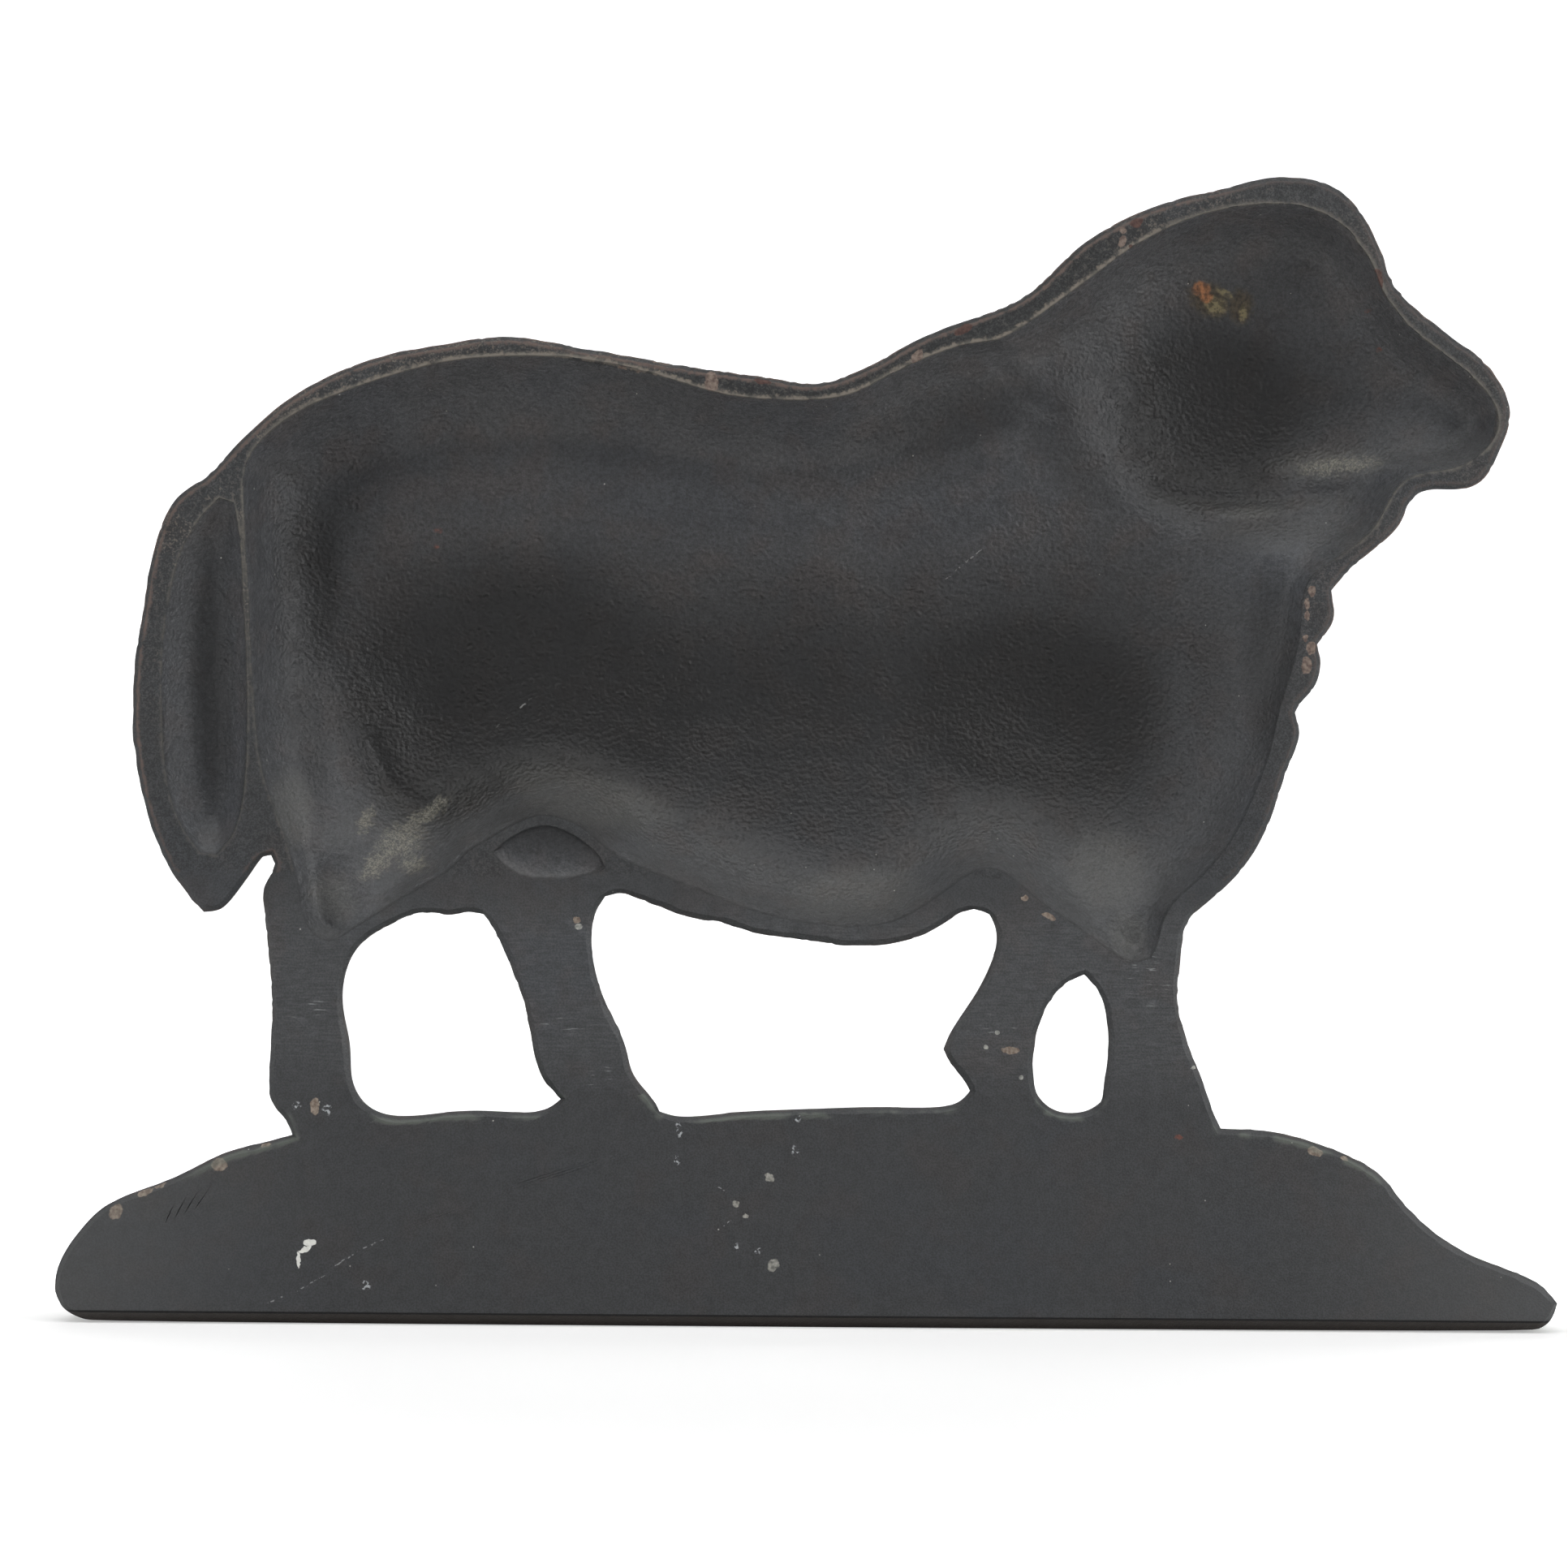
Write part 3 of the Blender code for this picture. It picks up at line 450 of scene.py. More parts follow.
speck = times(
    coat, ramp(coat, specks["Distance"], 0.055, 0.030), ramp(coat, chosen, 0.60, 1.0, 0.0, 1.2)
)
black = lay(coat, speck, black, speck_grey)
coat.links.new(black, coat_out["Color"])
coat.links.new(ramp(coat, seen["Blotch"], 0.35, 0.65, 0.38, 0.52), coat_out["Roughness"])
coat.links.new(
    reckon(coat, "MULTIPLY_ADD", seen["Crumb"], 0.060, times(coat, seen["Grit"], 0.060)), coat_out["Grain"]
)
chipped_roughness = 0.85


def black_material(name):
    """A material with the black coat, and what its own marks need."""
    material = bpy.data.materials.new(name)
    material.use_nodes = True
    tree = material.node_tree
    return material, tree, measure(tree), add_node(tree, "Group", node_tree=coat).outputs


def finish(tree, paint, roughness, grain):
    """Leads a coat to its material's shader, with the height of its grain in mm."""
    shader = tree.nodes["Principled BSDF"]
    tree.links.new(paint, shader.inputs["Base Color"])
    tree.links.new(roughness, shader.inputs["Roughness"])
    shader.inputs["Specular IOR Level"].default_value = 0.35
    bumpy = add_node(tree, "Bump", {"Strength": 1.0, "Distance": 0.001, "Height": grain})
    tree.links.new(bumpy.outputs[0], shader.inputs["Normal"])


def finish_black(tree, black, coated, chipped, grain=None):
    """Finishes a material of the black coat, dull where it is chipped."""
    roughness = ramp(tree, chipped, 0.0, 1.0, coated["Roughness"], chipped_roughness)
    finish(tree, black, roughness, grain or coated["Grain"])


def lay_marks(tree, seen, black, layers):
    """Lays marks over the black, each layer its two colours, strength, places and outline."""
    chipped = 0.0
    for dark, light, strength, places, outline in layers:
        mask = times(tree, marks(tree, seen, places, **outline), strength)
        black = lay(tree, mask, black, lay(tree, ramp(tree, seen["Crumb"], 0.3, 0.7), dark, light))
        chipped = mask if chipped == 0.0 else reckon(tree, "MAXIMUM", chipped, mask)
    return black, chipped


# The mound's back: knocked chips along its top, spatters of white and grey, dotted scratches, a painted
# reflection that lightens both ends, and a foot rubbed brown below the crease of the mould's parting.
parting_height = 1.9
parting_black = (0.004, 0.004, 0.004, 1)
reflection_grey_at_ends = (0.150, 0.150, 0.148, 1)
rubbed_top = colour(108, 114, 106)
rubbed_foot = colour(56, 50, 45)
on_mound, tree, seen, coated = black_material("black_on_mound")
black, chipped = lay_marks(tree, seen, coated["Color"], [
    (colour(112, 98, 88), colour(158, 146, 132), 0.95, [
        (-93.6, 25.4, 1.4, 1.1, 10), (-110.1, 17.8, 1.0, 1.5, -30), (-105.5, 20.9, 1.4, 0.6, 25),
        (-103.2, 22.1, 1.2, 0.5, 25), (81.0, 28.8, 1.5, 0.7, -20), (85.7, 27.7, 0.8, 0.35, -15),
        (-78.5, 34.8, 0.8, 1.5, 0), (-86.3, 28.6, 0.9, 0.35, 15),
    ], {}),
    (colour(104, 105, 100), colour(168, 166, 158), 0.9, [
        (-6.0, 24.0, 0.85, 0.65, -30), (-11.3, 19.8, 0.5, 0.7, 40), (-9.6, 17.9, 0.6, 0.28, -15),
        (-5.3, 10.1, 0.9, 1.2, -40),
    ], {}),
    (colour(222, 222, 216), colour(236, 236, 230), 1.0, [
        (-79.1, 13.1, 1.15, 0.62, -4), (-79.9, 12.0, 1.2, 0.45, 25), (-80.9, 10.3, 0.38, 1.35, 6),
    ], {}),
    (colour(120, 126, 128), colour(190, 194, 196), 0.85, [
        (-1.9, 28.3, 0.7, 1.0, 0), (-1.5, 33.5, 0.7, 0.6, 0), (-20.7, 26.8, 0.7, 1.1, 0),
        (-81.4, 34.9, 0.8, 0.8, -30), (-76.5, 34.4, 0.9, 1.2, 30), (-20.3, 31.5, 0.6, 1.6, 10),
        (-70.2, 6.3, 0.9, 1.0, 0), (-7.6, 12.3, 0.6, 0.5, 0), (-11.1, 12.9, 0.4, 0.8, 0),
    ], {"softness": 0.7, "broken": 1.0}),
    (colour(116, 118, 118), colour(150, 152, 152), 0.8, [
        (-69.2, 12.9, 2.8, 0.14, 24), (-73.6, 10.4, 2.9, 0.14, 33), (-79.0, 6.6, 3.2, 0.14, 30),
        (-84.0, 4.2, 2.6, 0.14, 24), (-13.8, 22.3, 1.4, 0.11, -32), (-12.5, 16.8, 1.3, 0.11, 35),
    ], {"softness": 0.6, "broken": 1.0, "tear": 0.35}),
    (colour(110, 70, 60), colour(128, 80, 68), 0.7, [(59.3, 31.0, 0.8, 0.5, 0)], {"softness": 0.6}),
])
# Painted reflection: the black grows lighter towards both ends of the mound.
reflected_at_ends = ramp(tree, reckon(tree, "ABSOLUTE", seen["Along"]), 72, 119, 0.0, 0.22)
black = lay(tree, reflected_at_ends, black, reflection_grey_at_ends)
top_rub = times(
    tree, ramp(tree, seen["Off Arris"], 0.9, 0.3), ramp(tree, seen["Height"], 20, 27),
    ramp(tree, seen["Patchy"], 0.44, 0.56),
)
black = lay(tree, times(tree, top_rub, 0.5), black, rubbed_top)
foot_line = reckon(tree, "MULTIPLY_ADD", seen["Blotch"], 0.5, seen["Height"])
black = lay(tree, ramp(tree, foot_line, 2.15, 1.95, 0.0, 0.8), black, rubbed_foot)
parting = reckon(tree, "ABSOLUTE", reckon(tree, "SUBTRACT", seen["Height"], parting_height))
black = lay(tree, ramp(tree, parting, 0.26, 0.08), black, parting_black)
finish_black(tree, black, coated, chipped)

# The legs' backs: the brush ran across them and left its streaks, and dust sits in these at the
# shins. They have a few knocked chips and spots of their own.
shin_dust = colour(168, 172, 172)
on_legs, tree, seen, coated = black_material("black_on_legs")
brushed = noise(tree, stretched(tree, seen["Place"], (0.10, 1.0, 1.0)), 3.0, 2.0)
streaks = ramp(tree, brushed, 0.3, 0.7, 0.12, 0.52)
legs_only = times(
    tree, ramp(tree, seen["Height"], 71, 62), ramp(tree, seen["Height"], 36.5, 46, 0.25, 1.0)
)
black = shade(tree, coated["Color"], reckon(tree, "MULTIPLY_ADD", streaks, legs_only, 1.0))
black, chipped = lay_marks(tree, seen, black, [
    (colour(112, 96, 86), colour(150, 138, 124), 0.9, [
        (32.4, 44.6, 1.6, 0.6, 0), (44.2, 65.0, 1.2, 1.0, 0), (38.3, 66.0, 1.3, 0.5, -25),
        (34.4, 68.9, 0.7, 0.4, 0), (-37.0, 64.8, 0.7, 0.5, 0),
    ], {}),
    (colour(120, 122, 118), colour(176, 176, 168), 0.9, [
        (30.2, 47.4, 0.4, 0.4, 0), (28.4, 45.1, 0.4, 0.4, 0), (34.1, 40.3, 0.4, 0.4, 0),
        (-36.7, 63.8, 0.7, 0.5, 0), (62.0, 42.2, 1.0, 0.3, 15),
    ], {"tear": 0.4}),
])
flecks = marks(tree, seen, [
    (54, 57, 4.5, 6.5, 0), (31, 48.5, 4.0, 3.0, 0), (-38, 48, 5.5, 1.6, -8), (-80, 50.5, 4.5, 2.2, 0),
    (-33.5, 40, 3.0, 2.5, 0),
], softness=0.9)
fleck = times(tree, flecks, ramp(tree, brushed, 0.62, 0.70))
black = lay(tree, times(tree, fleck, 0.6), black, shin_dust)
finish_black(tree, black, coated, chipped)

# The rim: its arris is rubbed down to brown iron along the back, and lighter towards the top as a
# painted highlight. Its lip is crusted pale at the rump and the neck and has a painted highlight along
# the back, with old chips on the loin, the poll and the breast.
loin_along, neck_along = -48.0, 14.0
bare_iron = colour(104, 90, 84)
sunk_black = (0.022, 0.023, 0.023, 1)
worn_brown, worn_grey = colour(92, 80, 72), colour(122, 118, 108)
pale_crust = colour(126, 118, 108)
lip_highlight_grey, lip_highlight_grey_in_hollow = colour(118, 114, 106), colour(112, 109, 102)


def away_from(tree, place, middle):
    """How far a place is from a middle, either way."""
    return reckon(tree, "ABSOLUTE", reckon(tree, "SUBTRACT", place, middle))


def lip_highlight(tree, seen):
    """A painted highlight along the upper lips of the hollows, mostly along the back and at the rump."""
    ragged = reckon(tree, "MULTIPLY_ADD", seen["Blotch"], 0.8, seen["Off Lip"])
    on_back = ramp(tree, seen["Height"], 118, 132)
    on_rump = ramp(tree, seen["Along"], -80, -84)
    return times(
        tree, ramp(tree, ragged, 0.95, 0.40), reckon(tree, "MAXIMUM", on_back, on_rump),
        ramp(tree, away_from(tree, seen["Along"], loin_along), 14, 9, 0.55, 1.0),
        ramp(tree, seen["Height"], 112, 130, 0.5, 1.0),
    )


on_rim, tree, seen, coated = black_material("black_on_rim")
wander = reckon(tree, "MULTIPLY_ADD", seen["Crumb"], 1.6, -0.8)
crumbly = reckon(tree, "MULTIPLY_ADD", seen["Grit"], 0.5, seen["Crumb"])
off_neck = away_from(tree, seen["Along"], neck_along)
on_neck = times(tree, ramp(tree, off_neck, 46, 30), ramp(tree, seen["Height"], 143, 148))
sunk = reckon(tree, "MULTIPLY_ADD", ramp(tree, crumbly, 0.86, 0.62), 0.45, times(tree, on_neck, 0.45))
black = lay(tree, sunk, coated["Color"], sunk_black)
behind_breast = ramp(tree, seen["Along"], 72, 60, 0.35, 1.0)
worn_rim = times(
    tree, ramp(tree, crumbly, 0.76, 0.94), ramp(tree, seen["Patchy"], 0.40, 0.56, 0.35, 1.0),
    ramp(tree, seen["Height"], 92, 124, 0.08, 0.7), ramp(tree, on_neck, 0, 1, 1.0, 0.3), behind_breast,
)
black = lay(tree, worn_rim, black, lay(tree, seen["Blotch"], worn_brown, worn_grey))
near_arris = reckon(tree, "MULTIPLY_ADD", wander, 0.6, seen["Off Arris"])
# Along the arris: bare brown iron, and lighter higher up as a painted highlight of the edge.
arris_rub_and_highlight = times(
    tree, ramp(tree, near_arris, 0.55, 0.10), ramp(tree, seen["Height"], 62, 96, 0.25, 0.85), behind_breast
)
black = lay(tree, arris_rub_and_highlight, black, bare_iron)
crust = times(
    tree, ramp(tree, reckon(tree, "ADD", seen["Off Lip"], wander), 0.80, 0.20),
    ramp(tree, seen["Height"], 138, 150), ramp(tree, seen["Blotch"], 0.40, 0.52),
    ramp(tree, seen["Along"], 60, 52, 0.3, 1.0),
)
black = lay(tree, times(tree, crust, 0.85), black, pale_crust)
# Painted highlight along the lip, on the rim's side.
black = lay(tree, lip_highlight(tree, seen), black, lip_highlight_grey)
black, chipped = lay_marks(tree, seen, black, [
    (colour(92, 78, 72), colour(132, 118, 108), 0.95, [
        (79.8, 118.1, 0.65, 1.0, 0), (79.1, 116.1, 0.5, 1.0, 0), (79.1, 114.3, 0.45, 0.9, 0),
        (78.8, 110.7, 0.4, 0.65, 0), (79.8, 109.1, 0.9, 1.2, 0), (79.1, 106.4, 0.9, 1.5, 0),
        (49.2, 173.7, 0.65, 1.0, -20), (49.3, 175.5, 0.6, 0.5, 0), (-30.5, 152.8, 0.8, 0.6, -20),
        (-27.9, 152.1, 0.6, 0.6, 0), (-16.2, 150.8, 1.2, 1.9, 0), (-24.5, 154.3, 2.8, 0.6, -12),
        (16.7, 155.1, 0.8, 1.4, -30), (38.5, 162.4, 2.6, 0.5, 35), (34.0, 159.3, 1.2, 0.5, 30),
    ], {}),
    (colour(70, 52, 48), colour(92, 68, 62), 0.9, [
        (51.5, 176.7, 1.2, 0.8, 20), (50.9, 172.8, 0.7, 0.5, 0), (-8.0, 151.0, 1.6, 0.5, -8),
        (24.0, 159.5, 1.8, 0.7, 28), (90.0, 168.0, 0.9, 1.8, 10),
    ], {}),
])
finish_black(tree, black, coated, reckon(tree, "MAXIMUM", chipped, arris_rub_and_highlight))

# The hollows: blacker with depth as painted shade, lighter overall and under their upper lips as painted
# light, and grey where their walls face up, partly dust and partly painted light, with a bloom of rust in
# the cheek. Sand left its grain there, and shallow dents in the floor.
shade_black_in_depth = (0.0165, 0.0165, 0.0168, 1)
hollow_painted_light, light_under_lips_tint = (1.20, 1.20, 1.22, 1), (1.32, 1.28, 1.24, 1)
browner_floor = (1.12, 0.98, 0.90, 1)
dust_and_light_grey, thick_dust_grey = (0.150, 0.148, 0.136, 1), colour(132, 129, 117)
lip_shade_black = (0.008, 0.008, 0.008, 1)
in_hollow, tree, seen, coated = black_material("black_in_hollow")
# Painted shade: the black turns darker the deeper the floor lies, and sooner inside these ovals.
depth_shade_marks = marks(tree, seen, [
    (36, 100, 26, 17, 0), (-50, 103, 37, 27, 0), (63, 146, 21, 19, 0), (-97, 104, 8, 36, 2),
    (-82, 116, 8, 20, 0), (71, 107, 12, 22, 0), (72, 127.5, 12, 6, 10),
], softness=1.0, tear=3.0)
darkest_shade_marks = marks(tree, seen, [
    (-63, 91.5, 10, 8, 60), (-62, 95, 15, 20, 10), (-95.6, 102, 5.5, 30, 2),
], softness=1.0, tear=4.0)
shade_deepness = reckon(tree, "MULTIPLY_ADD", seen["Cloud"], 5.0, seen["Off Back"])
shade_deepness = reckon(tree, "MULTIPLY_ADD", depth_shade_marks, 4.5, reckon(tree, "MULTIPLY_ADD", darkest_shade_marks, 5.0, shade_deepness))
depth_shade = ramp(tree, shade_deepness, 9.0, 22.0)
# Painted light: the hollow's black is made lighter than the flats', for the light its walls lose.
black = tint(tree, 1.0, coated["Color"], hollow_painted_light)
# Painted light from below on the walls that face down under the upper lips.
lit_from_below = times(tree, ramp(tree, seen["Facing Up"], -0.04, -0.40), ramp(tree, seen["Height"], 88, 100))
black = tint(tree, lit_from_below, black, light_under_lips_tint)
# Painted shade: these walls are dimmed towards the black of the depths.
painted_dim = marks(tree, seen, [
    (-81, 98, 5.5, 21, 5), (74, 106, 7, 20, 5), (47, 146, 17, 22, 0), (-12, 84, 18, 6, -20),
    (24, 146, 24, 7, 20), (-36, 82, 20, 8, 10),
], softness=1.0, tear=2.5)
black = lay(tree, reckon(tree, "MAXIMUM", times(tree, painted_dim, 0.6), depth_shade), black, shade_black_in_depth)
brown_floor = times(tree, ramp(tree, seen["Patchy"], 0.40, 0.64), ramp(tree, seen["Off Back"], 6.0, 12.0))
black = tint(tree, times(tree, brown_floor, 0.3), black, browner_floor)

flattened = stretched(tree, seen["Place"], (0.85, 1.0, 1.0))
pocks = add_node(
    tree, "TexVoronoi", {"Vector": flattened, "Scale": 1.5, "Smoothness": 0.6}, feature="SMOOTH_F1"
).outputs["Distance"]
bumps = reckon(tree, "MULTIPLY_ADD", pocks, 0.45, noise(tree, flattened, 1.7, 0.5))
# Painted shade and light on the grain: the black is darker in the dents and lighter on the bumps.
black = shade(tree, black, ramp(tree, bumps, 0.45, 0.95, 0.86, 1.14))

blooms = marks(tree, seen, [
    (-76, 68, 4.5, 6, 50), (48, 73, 9, 9, 0), (51, 63, 4, 6, 0),
    (84, 139.3, 12, 3.4, 3), (71, 131.3, 7, 1.8, 3), (8, 69, 18, 6, 4), (-83, 82, 4, 8, 8),
    (-36, 84, 20, 6, -14),
], softness=1.0, tear=1.6)
dusty = times(
    tree, blooms, ramp(tree, seen["Grit"], 0.3, 0.7, 0.7, 1.0),
    ramp(tree, seen["Crumb"], 0.3, 0.7, 0.7, 1.0), 0.42,
)
# Grey where the walls face up: partly settled dust, partly painted light from above.
dust_and_light_facing_up = ramp(tree, seen["Facing Up"], 0.15, 0.85, 0.0, 0.14)
black = lay(tree, reckon(tree, "MAXIMUM", dusty, dust_and_light_facing_up), black, dust_and_light_grey)
on_thigh_and_jaw = marks(tree, seen, [
    (-66.0, 77.0, 5.0, 3.6, 25), (-62.0, 81.5, 5.5, 1.6, 38), (-69.5, 73.5, 4.0, 2.2, 50),
    (-63.5, 73.5, 3.0, 1.8, 0), (-71.5, 80.5, 3.0, 1.3, 70), (85.5, 139.0, 8.0, 1.6, 3),
], softness=1.0, tear=3.5)
thick_dust = times(
    tree, on_thigh_and_jaw, ramp(tree, seen["Grit"], 0.36, 0.62, 0.25, 1.0),
    ramp(tree, seen["Crumb"], 0.34, 0.6, 0.4, 1.0), 0.8,
)
black = lay(tree, thick_dust, black, thick_dust_grey)
black, chipped = lay_marks(tree, seen, black, [
    (colour(52, 46, 38), colour(86, 76, 60), 0.75, [
        (64.4, 166.0, 4.6, 3.4, -25), (69.4, 165.0, 2.7, 3.5, 0),
    ], {"softness": 0.9, "tear": 1.4}),
    (colour(98, 90, 66), colour(132, 122, 92), 0.8, [
        (65.4, 165.0, 2.4, 1.9, -30), (69.9, 163.9, 0.8, 2.0, 0), (66.8, 167.0, 2.0, 0.8, -30),
    ], {"softness": 0.9, "broken": 0.5}),
    (colour(110, 76, 54), colour(172, 116, 78), 0.85, [
        (63.0, 167.7, 1.8, 1.4, 0), (63.9, 166.3, 1.2, 1.2, 0),
    ], {"softness": 0.9, "broken": 0.2}),
    (colour(90, 66, 60), colour(120, 82, 72), 0.7, [
        (89.3, 163.6, 0.5, 0.4, 0), (91.4, 157.6, 0.5, 0.5, 0), (-60.5, 127.5, 0.9, 0.6, 0),
        (-60.8, 124.9, 0.6, 0.5, 0),
    ], {"softness": 0.7, "tear": 0.5, "broken": 0.6}),
    (colour(110, 110, 108), colour(150, 150, 148), 0.7, [
        (24.7, 122.6, 5.0, 0.15, 40), (-48.4, 98.1, 4.2, 0.16, 40),
    ], {"softness": 0.6, "broken": 1.0, "tear": 0.5}),
])
# Painted shade in the crease along the lower lips.
lip_shade = times(
    tree, ramp(tree, seen["Off Lip"], 1.1, 0.3, 0.0, 0.35), ramp(tree, seen["Height"], 110, 90)
)
black = lay(tree, lip_shade, black, lip_shade_black)
# Painted highlight along the upper lips, on the hollow's side.
black = lay(tree, lip_highlight(tree, seen), black, lip_highlight_grey_in_hollow)
dent_share = times(
    tree, ramp(tree, seen["Off Back"], 5.0, 13.0, 0.25, 0.9), ramp(tree, seen["Patchy"], 0.35, 0.6, 0.6, 1.0)
)
dents = times(tree, bumps, 0.34)
orange_peel = times(tree, seen["Crumb"], 0.10)
grain = reckon(tree, "MULTIPLY_ADD", dents, dent_share, reckon(tree, "ADD", coated["Grain"], orange_peel))
finish_black(tree, black, coated, chipped, grain)

# The old colours of the front: off-white fleece, black face and legs, a green mound, the fleece darker
# between its curls with grime and painted shade, and all worn to brown iron where they stand proud.
fleece_white = (0.60, 0.58, 0.52, 1)
fleece_cream = (0.36, 0.31, 0.23, 1)
fleece_grime_and_shade = (0.150, 0.125, 0.095, 1)
face_black = (0.030, 0.027, 0.025, 1)
mound_green = (0.085, 0.140, 0.062, 1)
mound_moss = (0.045, 0.075, 0.036, 1)
mound_mud = (0.085, 0.062, 0.038, 1)
eye_cream, eye_pupil = colour(196, 184, 150), colour(22, 20, 20)
dark_iron, brown_iron = colour(54, 46, 40), colour(98, 76, 60)
front_coat, _, front_out = add_group("old_colours", {}, {"Color": "Color", "Roughness": "Float"})
tree = front_coat
seen = measure(tree)
curl = add_node(tree, "Attribute", attribute_name="curl").outputs["Fac"]
# Grime and painted shade: the fleece is darker down between its curls.
curl_shade = ramp(tree, reckon(tree, "MULTIPLY_ADD", seen["Blotch"], 0.35, curl), -0.28, 0.32)
front = lay(tree, curl_shade, fleece_grime_and_shade, fleece_white)
front = lay(tree, ramp(tree, seen["Cloud"], 0.42, 0.62, 0.0, 0.45), front, fleece_cream)
off_cheek = reckon(tree, "POWER", reckon(tree, "SUBTRACT", seen["Height"], cheek_height), 2.0)
ahead = reckon(tree, "SUBTRACT", seen["Along"], cheek_along)
ahead = reckon(tree, "MULTIPLY_ADD", off_cheek, -face_bow, ahead)
bare_face = times(
    tree, ramp(tree, reckon(tree, "MULTIPLY_ADD", seen["Crumb"], 1.2, ahead), -0.4, 0.8),
    ramp(tree, seen["Height"], chin_height - 0.5, chin_height + 1.5),
)
leg_tops = ramp(tree, reckon(tree, "MULTIPLY_ADD", seen["Blotch"], 6.0, seen["Height"]), 70.0, 68.0)
ear = marks(
    tree, seen, [(*ear_middle, *ear_half_size, math.degrees(ear_turn))], softness=0.12, tear=0.5
)
bare = reckon(tree, "MAXIMUM", ear, reckon(tree, "MAXIMUM", bare_face, leg_tops))
front = lay(tree, bare, front, face_black)
grass = noise(tree, stretched(tree, seen["Place"], (1.0, 1.0, 0.22)), 0.9, 2.0)
turf = lay(tree, ramp(tree, grass, 0.40, 0.60), mound_moss, mound_green)
turf = lay(tree, ramp(tree, seen["Patchy"], 0.50, 0.64, 0.0, 0.6), turf, mound_mud)
hooves = marks(tree, seen, [
    (-79, 35, 7.5, 5.5, 0), (-33.5, 36, 7.5, 5.5, 0), (31, 37.5, 7.5, 5.5, 0), (56.5, 36, 7.5, 5.5, 0),
], softness=0.1, tear=0.4)
mound_line = reckon(tree, "ADD", seen["Height"], seen["Crumb"])
on_turf = times(tree, ramp(tree, mound_line, 36.2, 35.4), reckon(tree, "SUBTRACT", 1.0, hooves))
front = lay(tree, on_turf, front, turf)
eye_white = marks(tree, seen, [(88, 157.6, 2.6, 1.7, 25)], softness=0.15, tear=0.3)
front = lay(tree, eye_white, front, eye_cream)
eye_black = marks(tree, seen, [(88.2, 157.6, 1.25, 1.15, 0)], softness=0.2, tear=0.3)
front = lay(tree, eye_black, front, eye_pupil)
worn = ramp(tree, reckon(tree, "MULTIPLY_ADD", seen["Grit"], 0.35, seen["Patchy"]), 0.81, 0.87)
worn = reckon(tree, "MAXIMUM", worn, ramp(tree, seen["Height"], 0.35, 0.15))
front = lay(tree, worn, front, lay(tree, seen["Crumb"], dark_iron, brown_iron))
tree.links.new(front, front_out["Color"])
tree.links.new(ramp(tree, seen["Patchy"], 0.35, 0.65, 0.48, 0.68), front_out["Roughness"])

on_front = bpy.data.materials.new("old_colours")
on_front.use_nodes = True
tree = on_front.node_tree
old = add_node(tree, "Group", node_tree=front_coat).outputs
seen = measure(tree)
front_grain = times(tree, reckon(tree, "ADD", seen["Crumb"], seen["Grit"]), 0.045)
finish(tree, old["Color"], old["Roughness"], front_grain)

# The side of the casting: the black was brushed on from behind and ends in a ragged line there,
# over the old colours, and the side is rubbed to bare iron here and there along the back.
on_side, tree, seen, coated = black_material("black_over_old_colours")
old = add_node(tree, "Group", node_tree=front_coat).outputs
brush_line = reckon(tree, "MULTIPLY_ADD", seen["Blotch"], 1.1, seen["Off Back"])
brushed_over = reckon(
    tree, "MAXIMUM", ramp(tree, brush_line, 1.95, 1.75), ramp(tree, seen["Height"], 0.4, 0.2)
)
side_rub = times(
    tree, ramp(tree, reckon(tree, "ADD", seen["Off Arris"], seen["Crumb"]), 2.1, 1.5),
    ramp(tree, seen["Patchy"], 0.42, 0.56), ramp(tree, seen["Height"], 96, 120, 0.2, 0.9),
)
side = lay(tree, brushed_over, old["Color"], coated["Color"])
finish_black(tree, lay(tree, side_rub, side, bare_iron), coated, side_rub)

# Each face takes the coat of the part of the casting that it lies on. The foot's chamfer, which is
# deeper than the other rounded edges, belongs to the mound's back.
coats = {
    "front": on_front, "side": on_side, "mound": on_mound, "legs": on_legs, "rim": on_rim,
    "hollow": in_hollow,
}
mound_ends_at, legs_end_at = 0.0372, 0.0722
hollow_off_arris = 1.25
hollow_off_back = 0.00012
side_begins, side_ends = 0.00072, 0.0034
chamfer_height, chamfer_depth = 0.003, 0.0013
faces_back = -0.5
casting.data.materials.clear()
for material in coats.values():
    casting.data.materials.append(material)
offs = casting.data.attributes["off_arris"].data
for face in casting.data.polygons:
    off_back = face.center.y - back_plane
    off_arris = min(offs[index].value for index in face.vertices)
    sunk = face.center.z > lowest_lip and off_arris > hollow_off_arris and off_back > hollow_off_back
    flat_ends = side_begins + (chamfer_depth if face.center.z < chamfer_height else 0)
    if sunk and face.normal.y < turned_back:
        part = "hollow"
    elif face.normal.y < faces_back and off_back < flat_ends:
        low, high = face.center.z < mound_ends_at, face.center.z > legs_end_at
        part = "mound" if low else "rim" if high else "legs"
    else:
        part = "side" if off_back < side_ends else "front"
    face.material_index = list(coats).index(part)

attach(casting, "root")
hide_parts("sheep_casting")

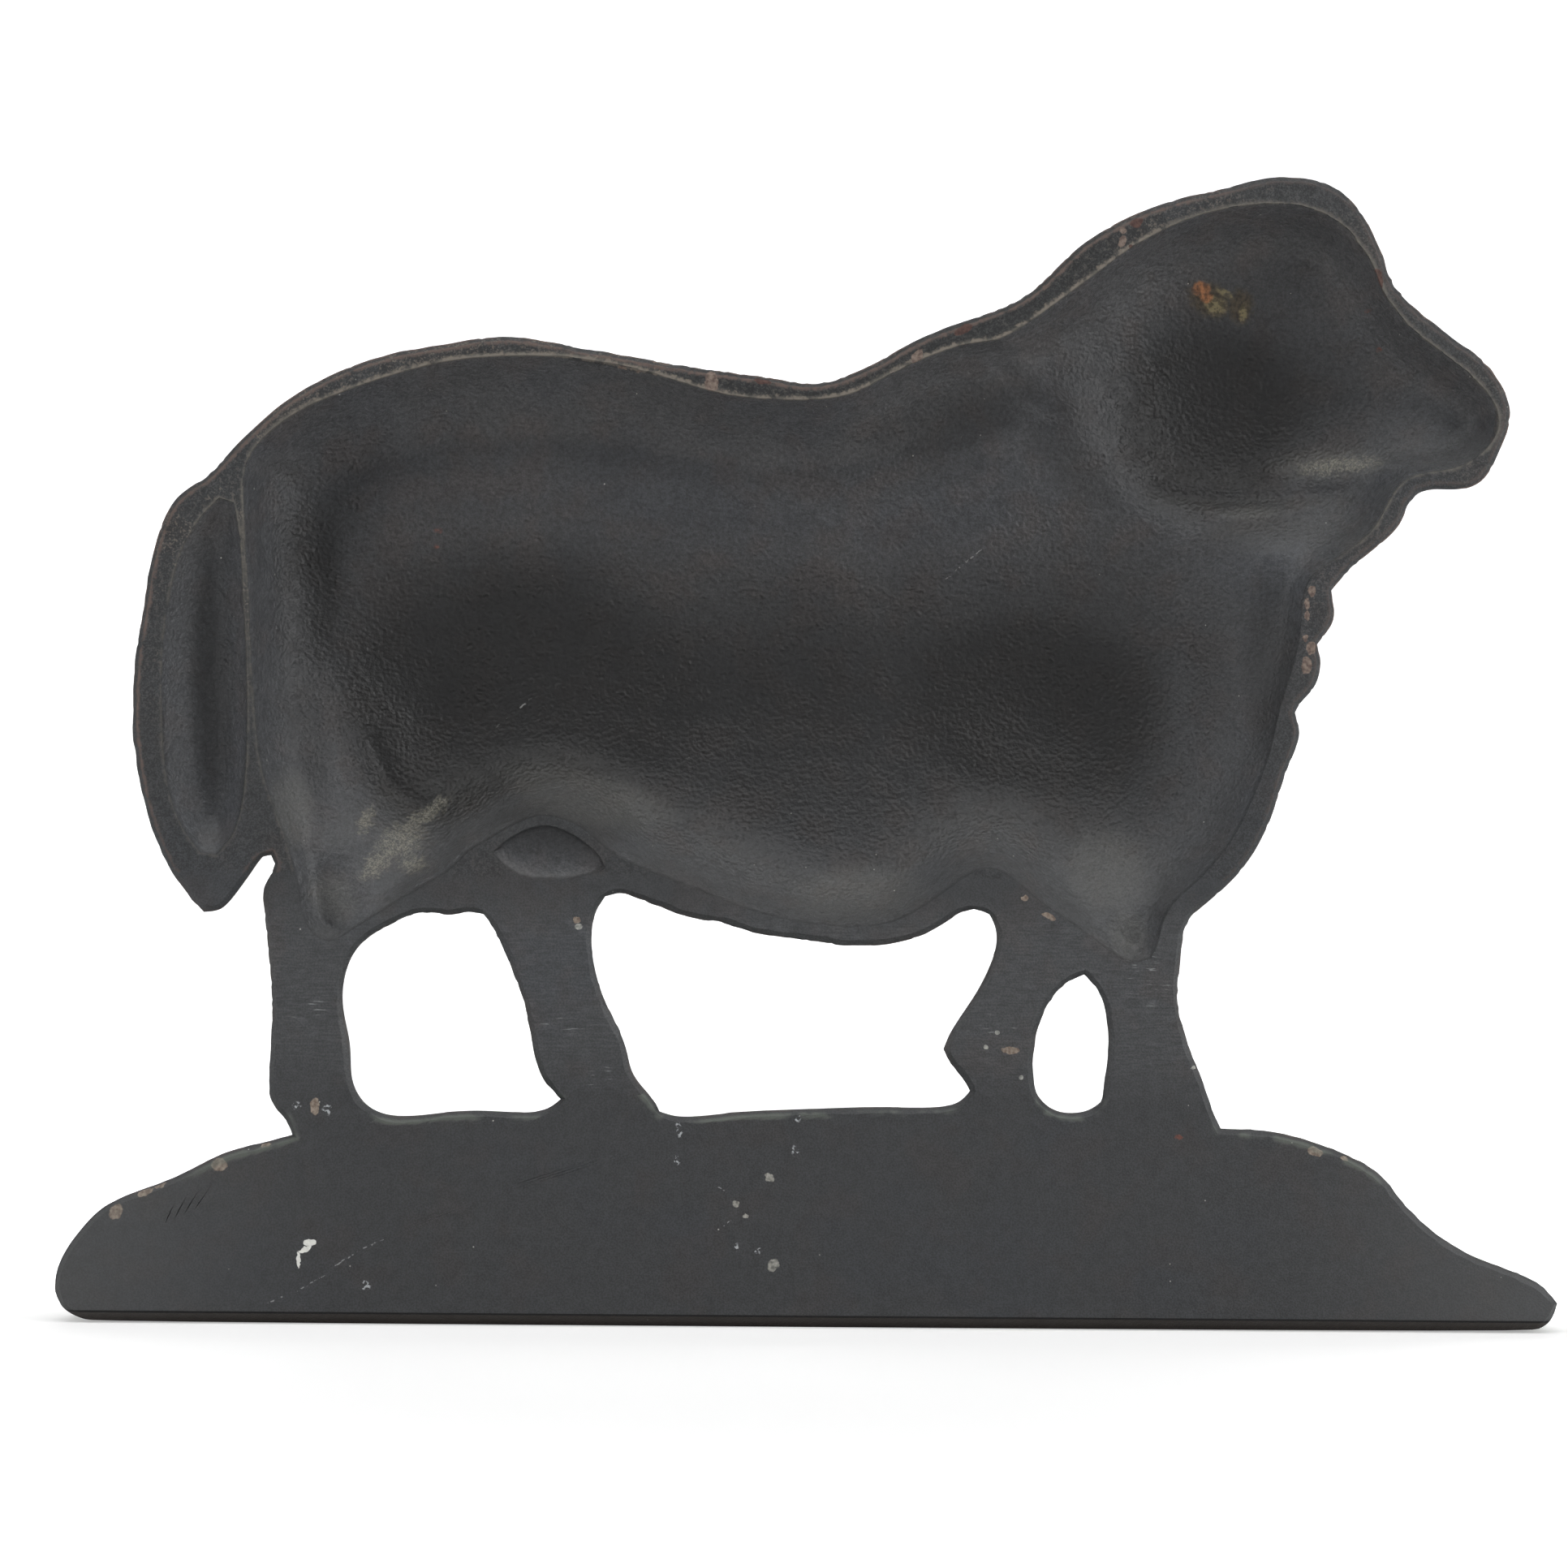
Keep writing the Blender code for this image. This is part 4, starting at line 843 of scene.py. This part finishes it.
# The photographer's table: white paper under the doorstop, curved up far behind it in one sweep.
paper_size = 3.2
paper_middle = -0.55
paper_rise = 1.6
paper_bend = 0.35
edge_band = 0.001
bpy.ops.object.select_all(action="DESELECT")
bpy.ops.mesh.primitive_plane_add(size=paper_size, location=(0, paper_middle, 0))
sweep = bpy.context.object
sweep.name = sweep.data.name = "white_sweep"
bpy.ops.object.transform_apply(location=True, rotation=True, scale=True)
back_edge = max(vertex.co.y for vertex in sweep.data.vertices)
bpy.ops.object.mode_set(mode="EDIT")
bpy.ops.mesh.select_mode(type="EDGE")
paper_mesh = bmesh.from_edit_mesh(sweep.data)
for edge in paper_mesh.edges:
    edge.select_set(all(end.co.y > back_edge - edge_band for end in edge.verts))
bpy.ops.mesh.extrude_region_move(TRANSFORM_OT_translate={"value": (0, 0, paper_rise)})
paper_mesh = bmesh.from_edit_mesh(sweep.data)
for edge in paper_mesh.edges:
    at_bend = [end.co.y > back_edge - edge_band and end.co.z < edge_band for end in edge.verts]
    edge.select_set(all(at_bend))
bpy.ops.mesh.bevel(offset=paper_bend, segments=12)
bpy.ops.mesh.select_all(action="SELECT")
bpy.ops.mesh.normals_make_consistent(inside=False)
bpy.ops.object.mode_set(mode="OBJECT")
bpy.ops.object.shade_smooth()

paper = bpy.data.materials.new("white_paper")
paper.use_nodes = True
sheet = paper.node_tree
sheet_shader = sheet.nodes["Principled BSDF"]
sheet_shader.inputs["Base Color"].default_value = (0.82, 0.82, 0.82, 1)
sheet_shader.inputs["Roughness"].default_value = 0.9
sheet_shader.inputs["Specular IOR Level"].default_value = 0.0
sheet_shader.inputs["Emission Color"].default_value = (1, 1, 1, 1)
glow_in_front, glow_behind = 0.38, 0.70
glow_turns_at = 0.020
camera_ray = add_node(sheet, "LightPath").outputs["Is Camera Ray"]
on_paper = add_node(sheet, "TexCoord").outputs["Object"]
far_back = add_node(sheet, "SeparateXYZ", {0: on_paper}).outputs[1]
paper_glow = ramp(sheet, far_back, -glow_turns_at, glow_turns_at, glow_in_front, glow_behind)
sheet.links.new(times(sheet, camera_ray, paper_glow), sheet_shader.inputs["Emission Strength"])
sweep.data.materials.append(paper)

# The light: soft panels round the doorstop, one at each side, one above, and one for its front.
# The white room behind them gives almost no light of its own.
panels = {
    # name: place, way it faces, width and height, power
    "left_panel": ((-0.58, -0.30, 0.22), (0.9, 0.42, -0.12), (0.42, 0.60), 1.3),
    "right_panel": ((0.58, -0.30, 0.22), (-0.9, 0.42, -0.12), (0.42, 0.60), 2.7),
    "top_panel": ((0.0, -0.36, 0.72), (0, 0.50, -0.86), (1.1, 0.60), 3.6),
    "front_panel": ((0.0, 0.72, 0.80), (0, -0.72, -0.70), (1.0, 0.60), 2.6),
}
for name, (spot, facing, size, power) in panels.items():
    turn = mathutils.Vector(facing).to_track_quat("-Z", "Y").to_euler()
    bpy.ops.object.light_add(type="AREA", location=spot, rotation=turn)
    panel = bpy.context.object
    panel.name = panel.data.name = name
    panel.data.shape = "RECTANGLE"
    panel.data.size, panel.data.size_y = size
    panel.data.energy = power

room_light, room_seen = 0.03, 1.0
room = bpy.data.worlds.new("pale_room")
room.use_nodes = True
room_wall = room.node_tree.nodes["Background"]
room_wall.inputs["Color"].default_value = (1, 1, 1, 1)
room_path = add_node(room.node_tree, "LightPath").outputs["Is Camera Ray"]
room.node_tree.links.new(
    ramp(room.node_tree, room_path, 0.0, 1.0, room_light, room_seen), room_wall.inputs["Strength"]
)
bpy.context.scene.world = room

# The camera: level, square on to the flat back, with the photograph's slight lean.
view_middle_x = -0.0041
view_middle_z = 0.0868
view_width = 0.2500
view_distance = 0.68
view_lean = math.radians(-0.43)
bpy.ops.object.camera_add(
    location=(view_middle_x, back_plane - view_distance, view_middle_z),
    rotation=(math.radians(90), view_lean, 0),
)
camera = bpy.context.object
camera.name = camera.data.name = "camera"
camera.data.sensor_width = 36
camera.data.lens = camera.data.sensor_width * view_distance / view_width
camera.data.clip_start = 0.05
bpy.context.scene.camera = camera
bpy.context.scene.view_settings.view_transform = "Standard"
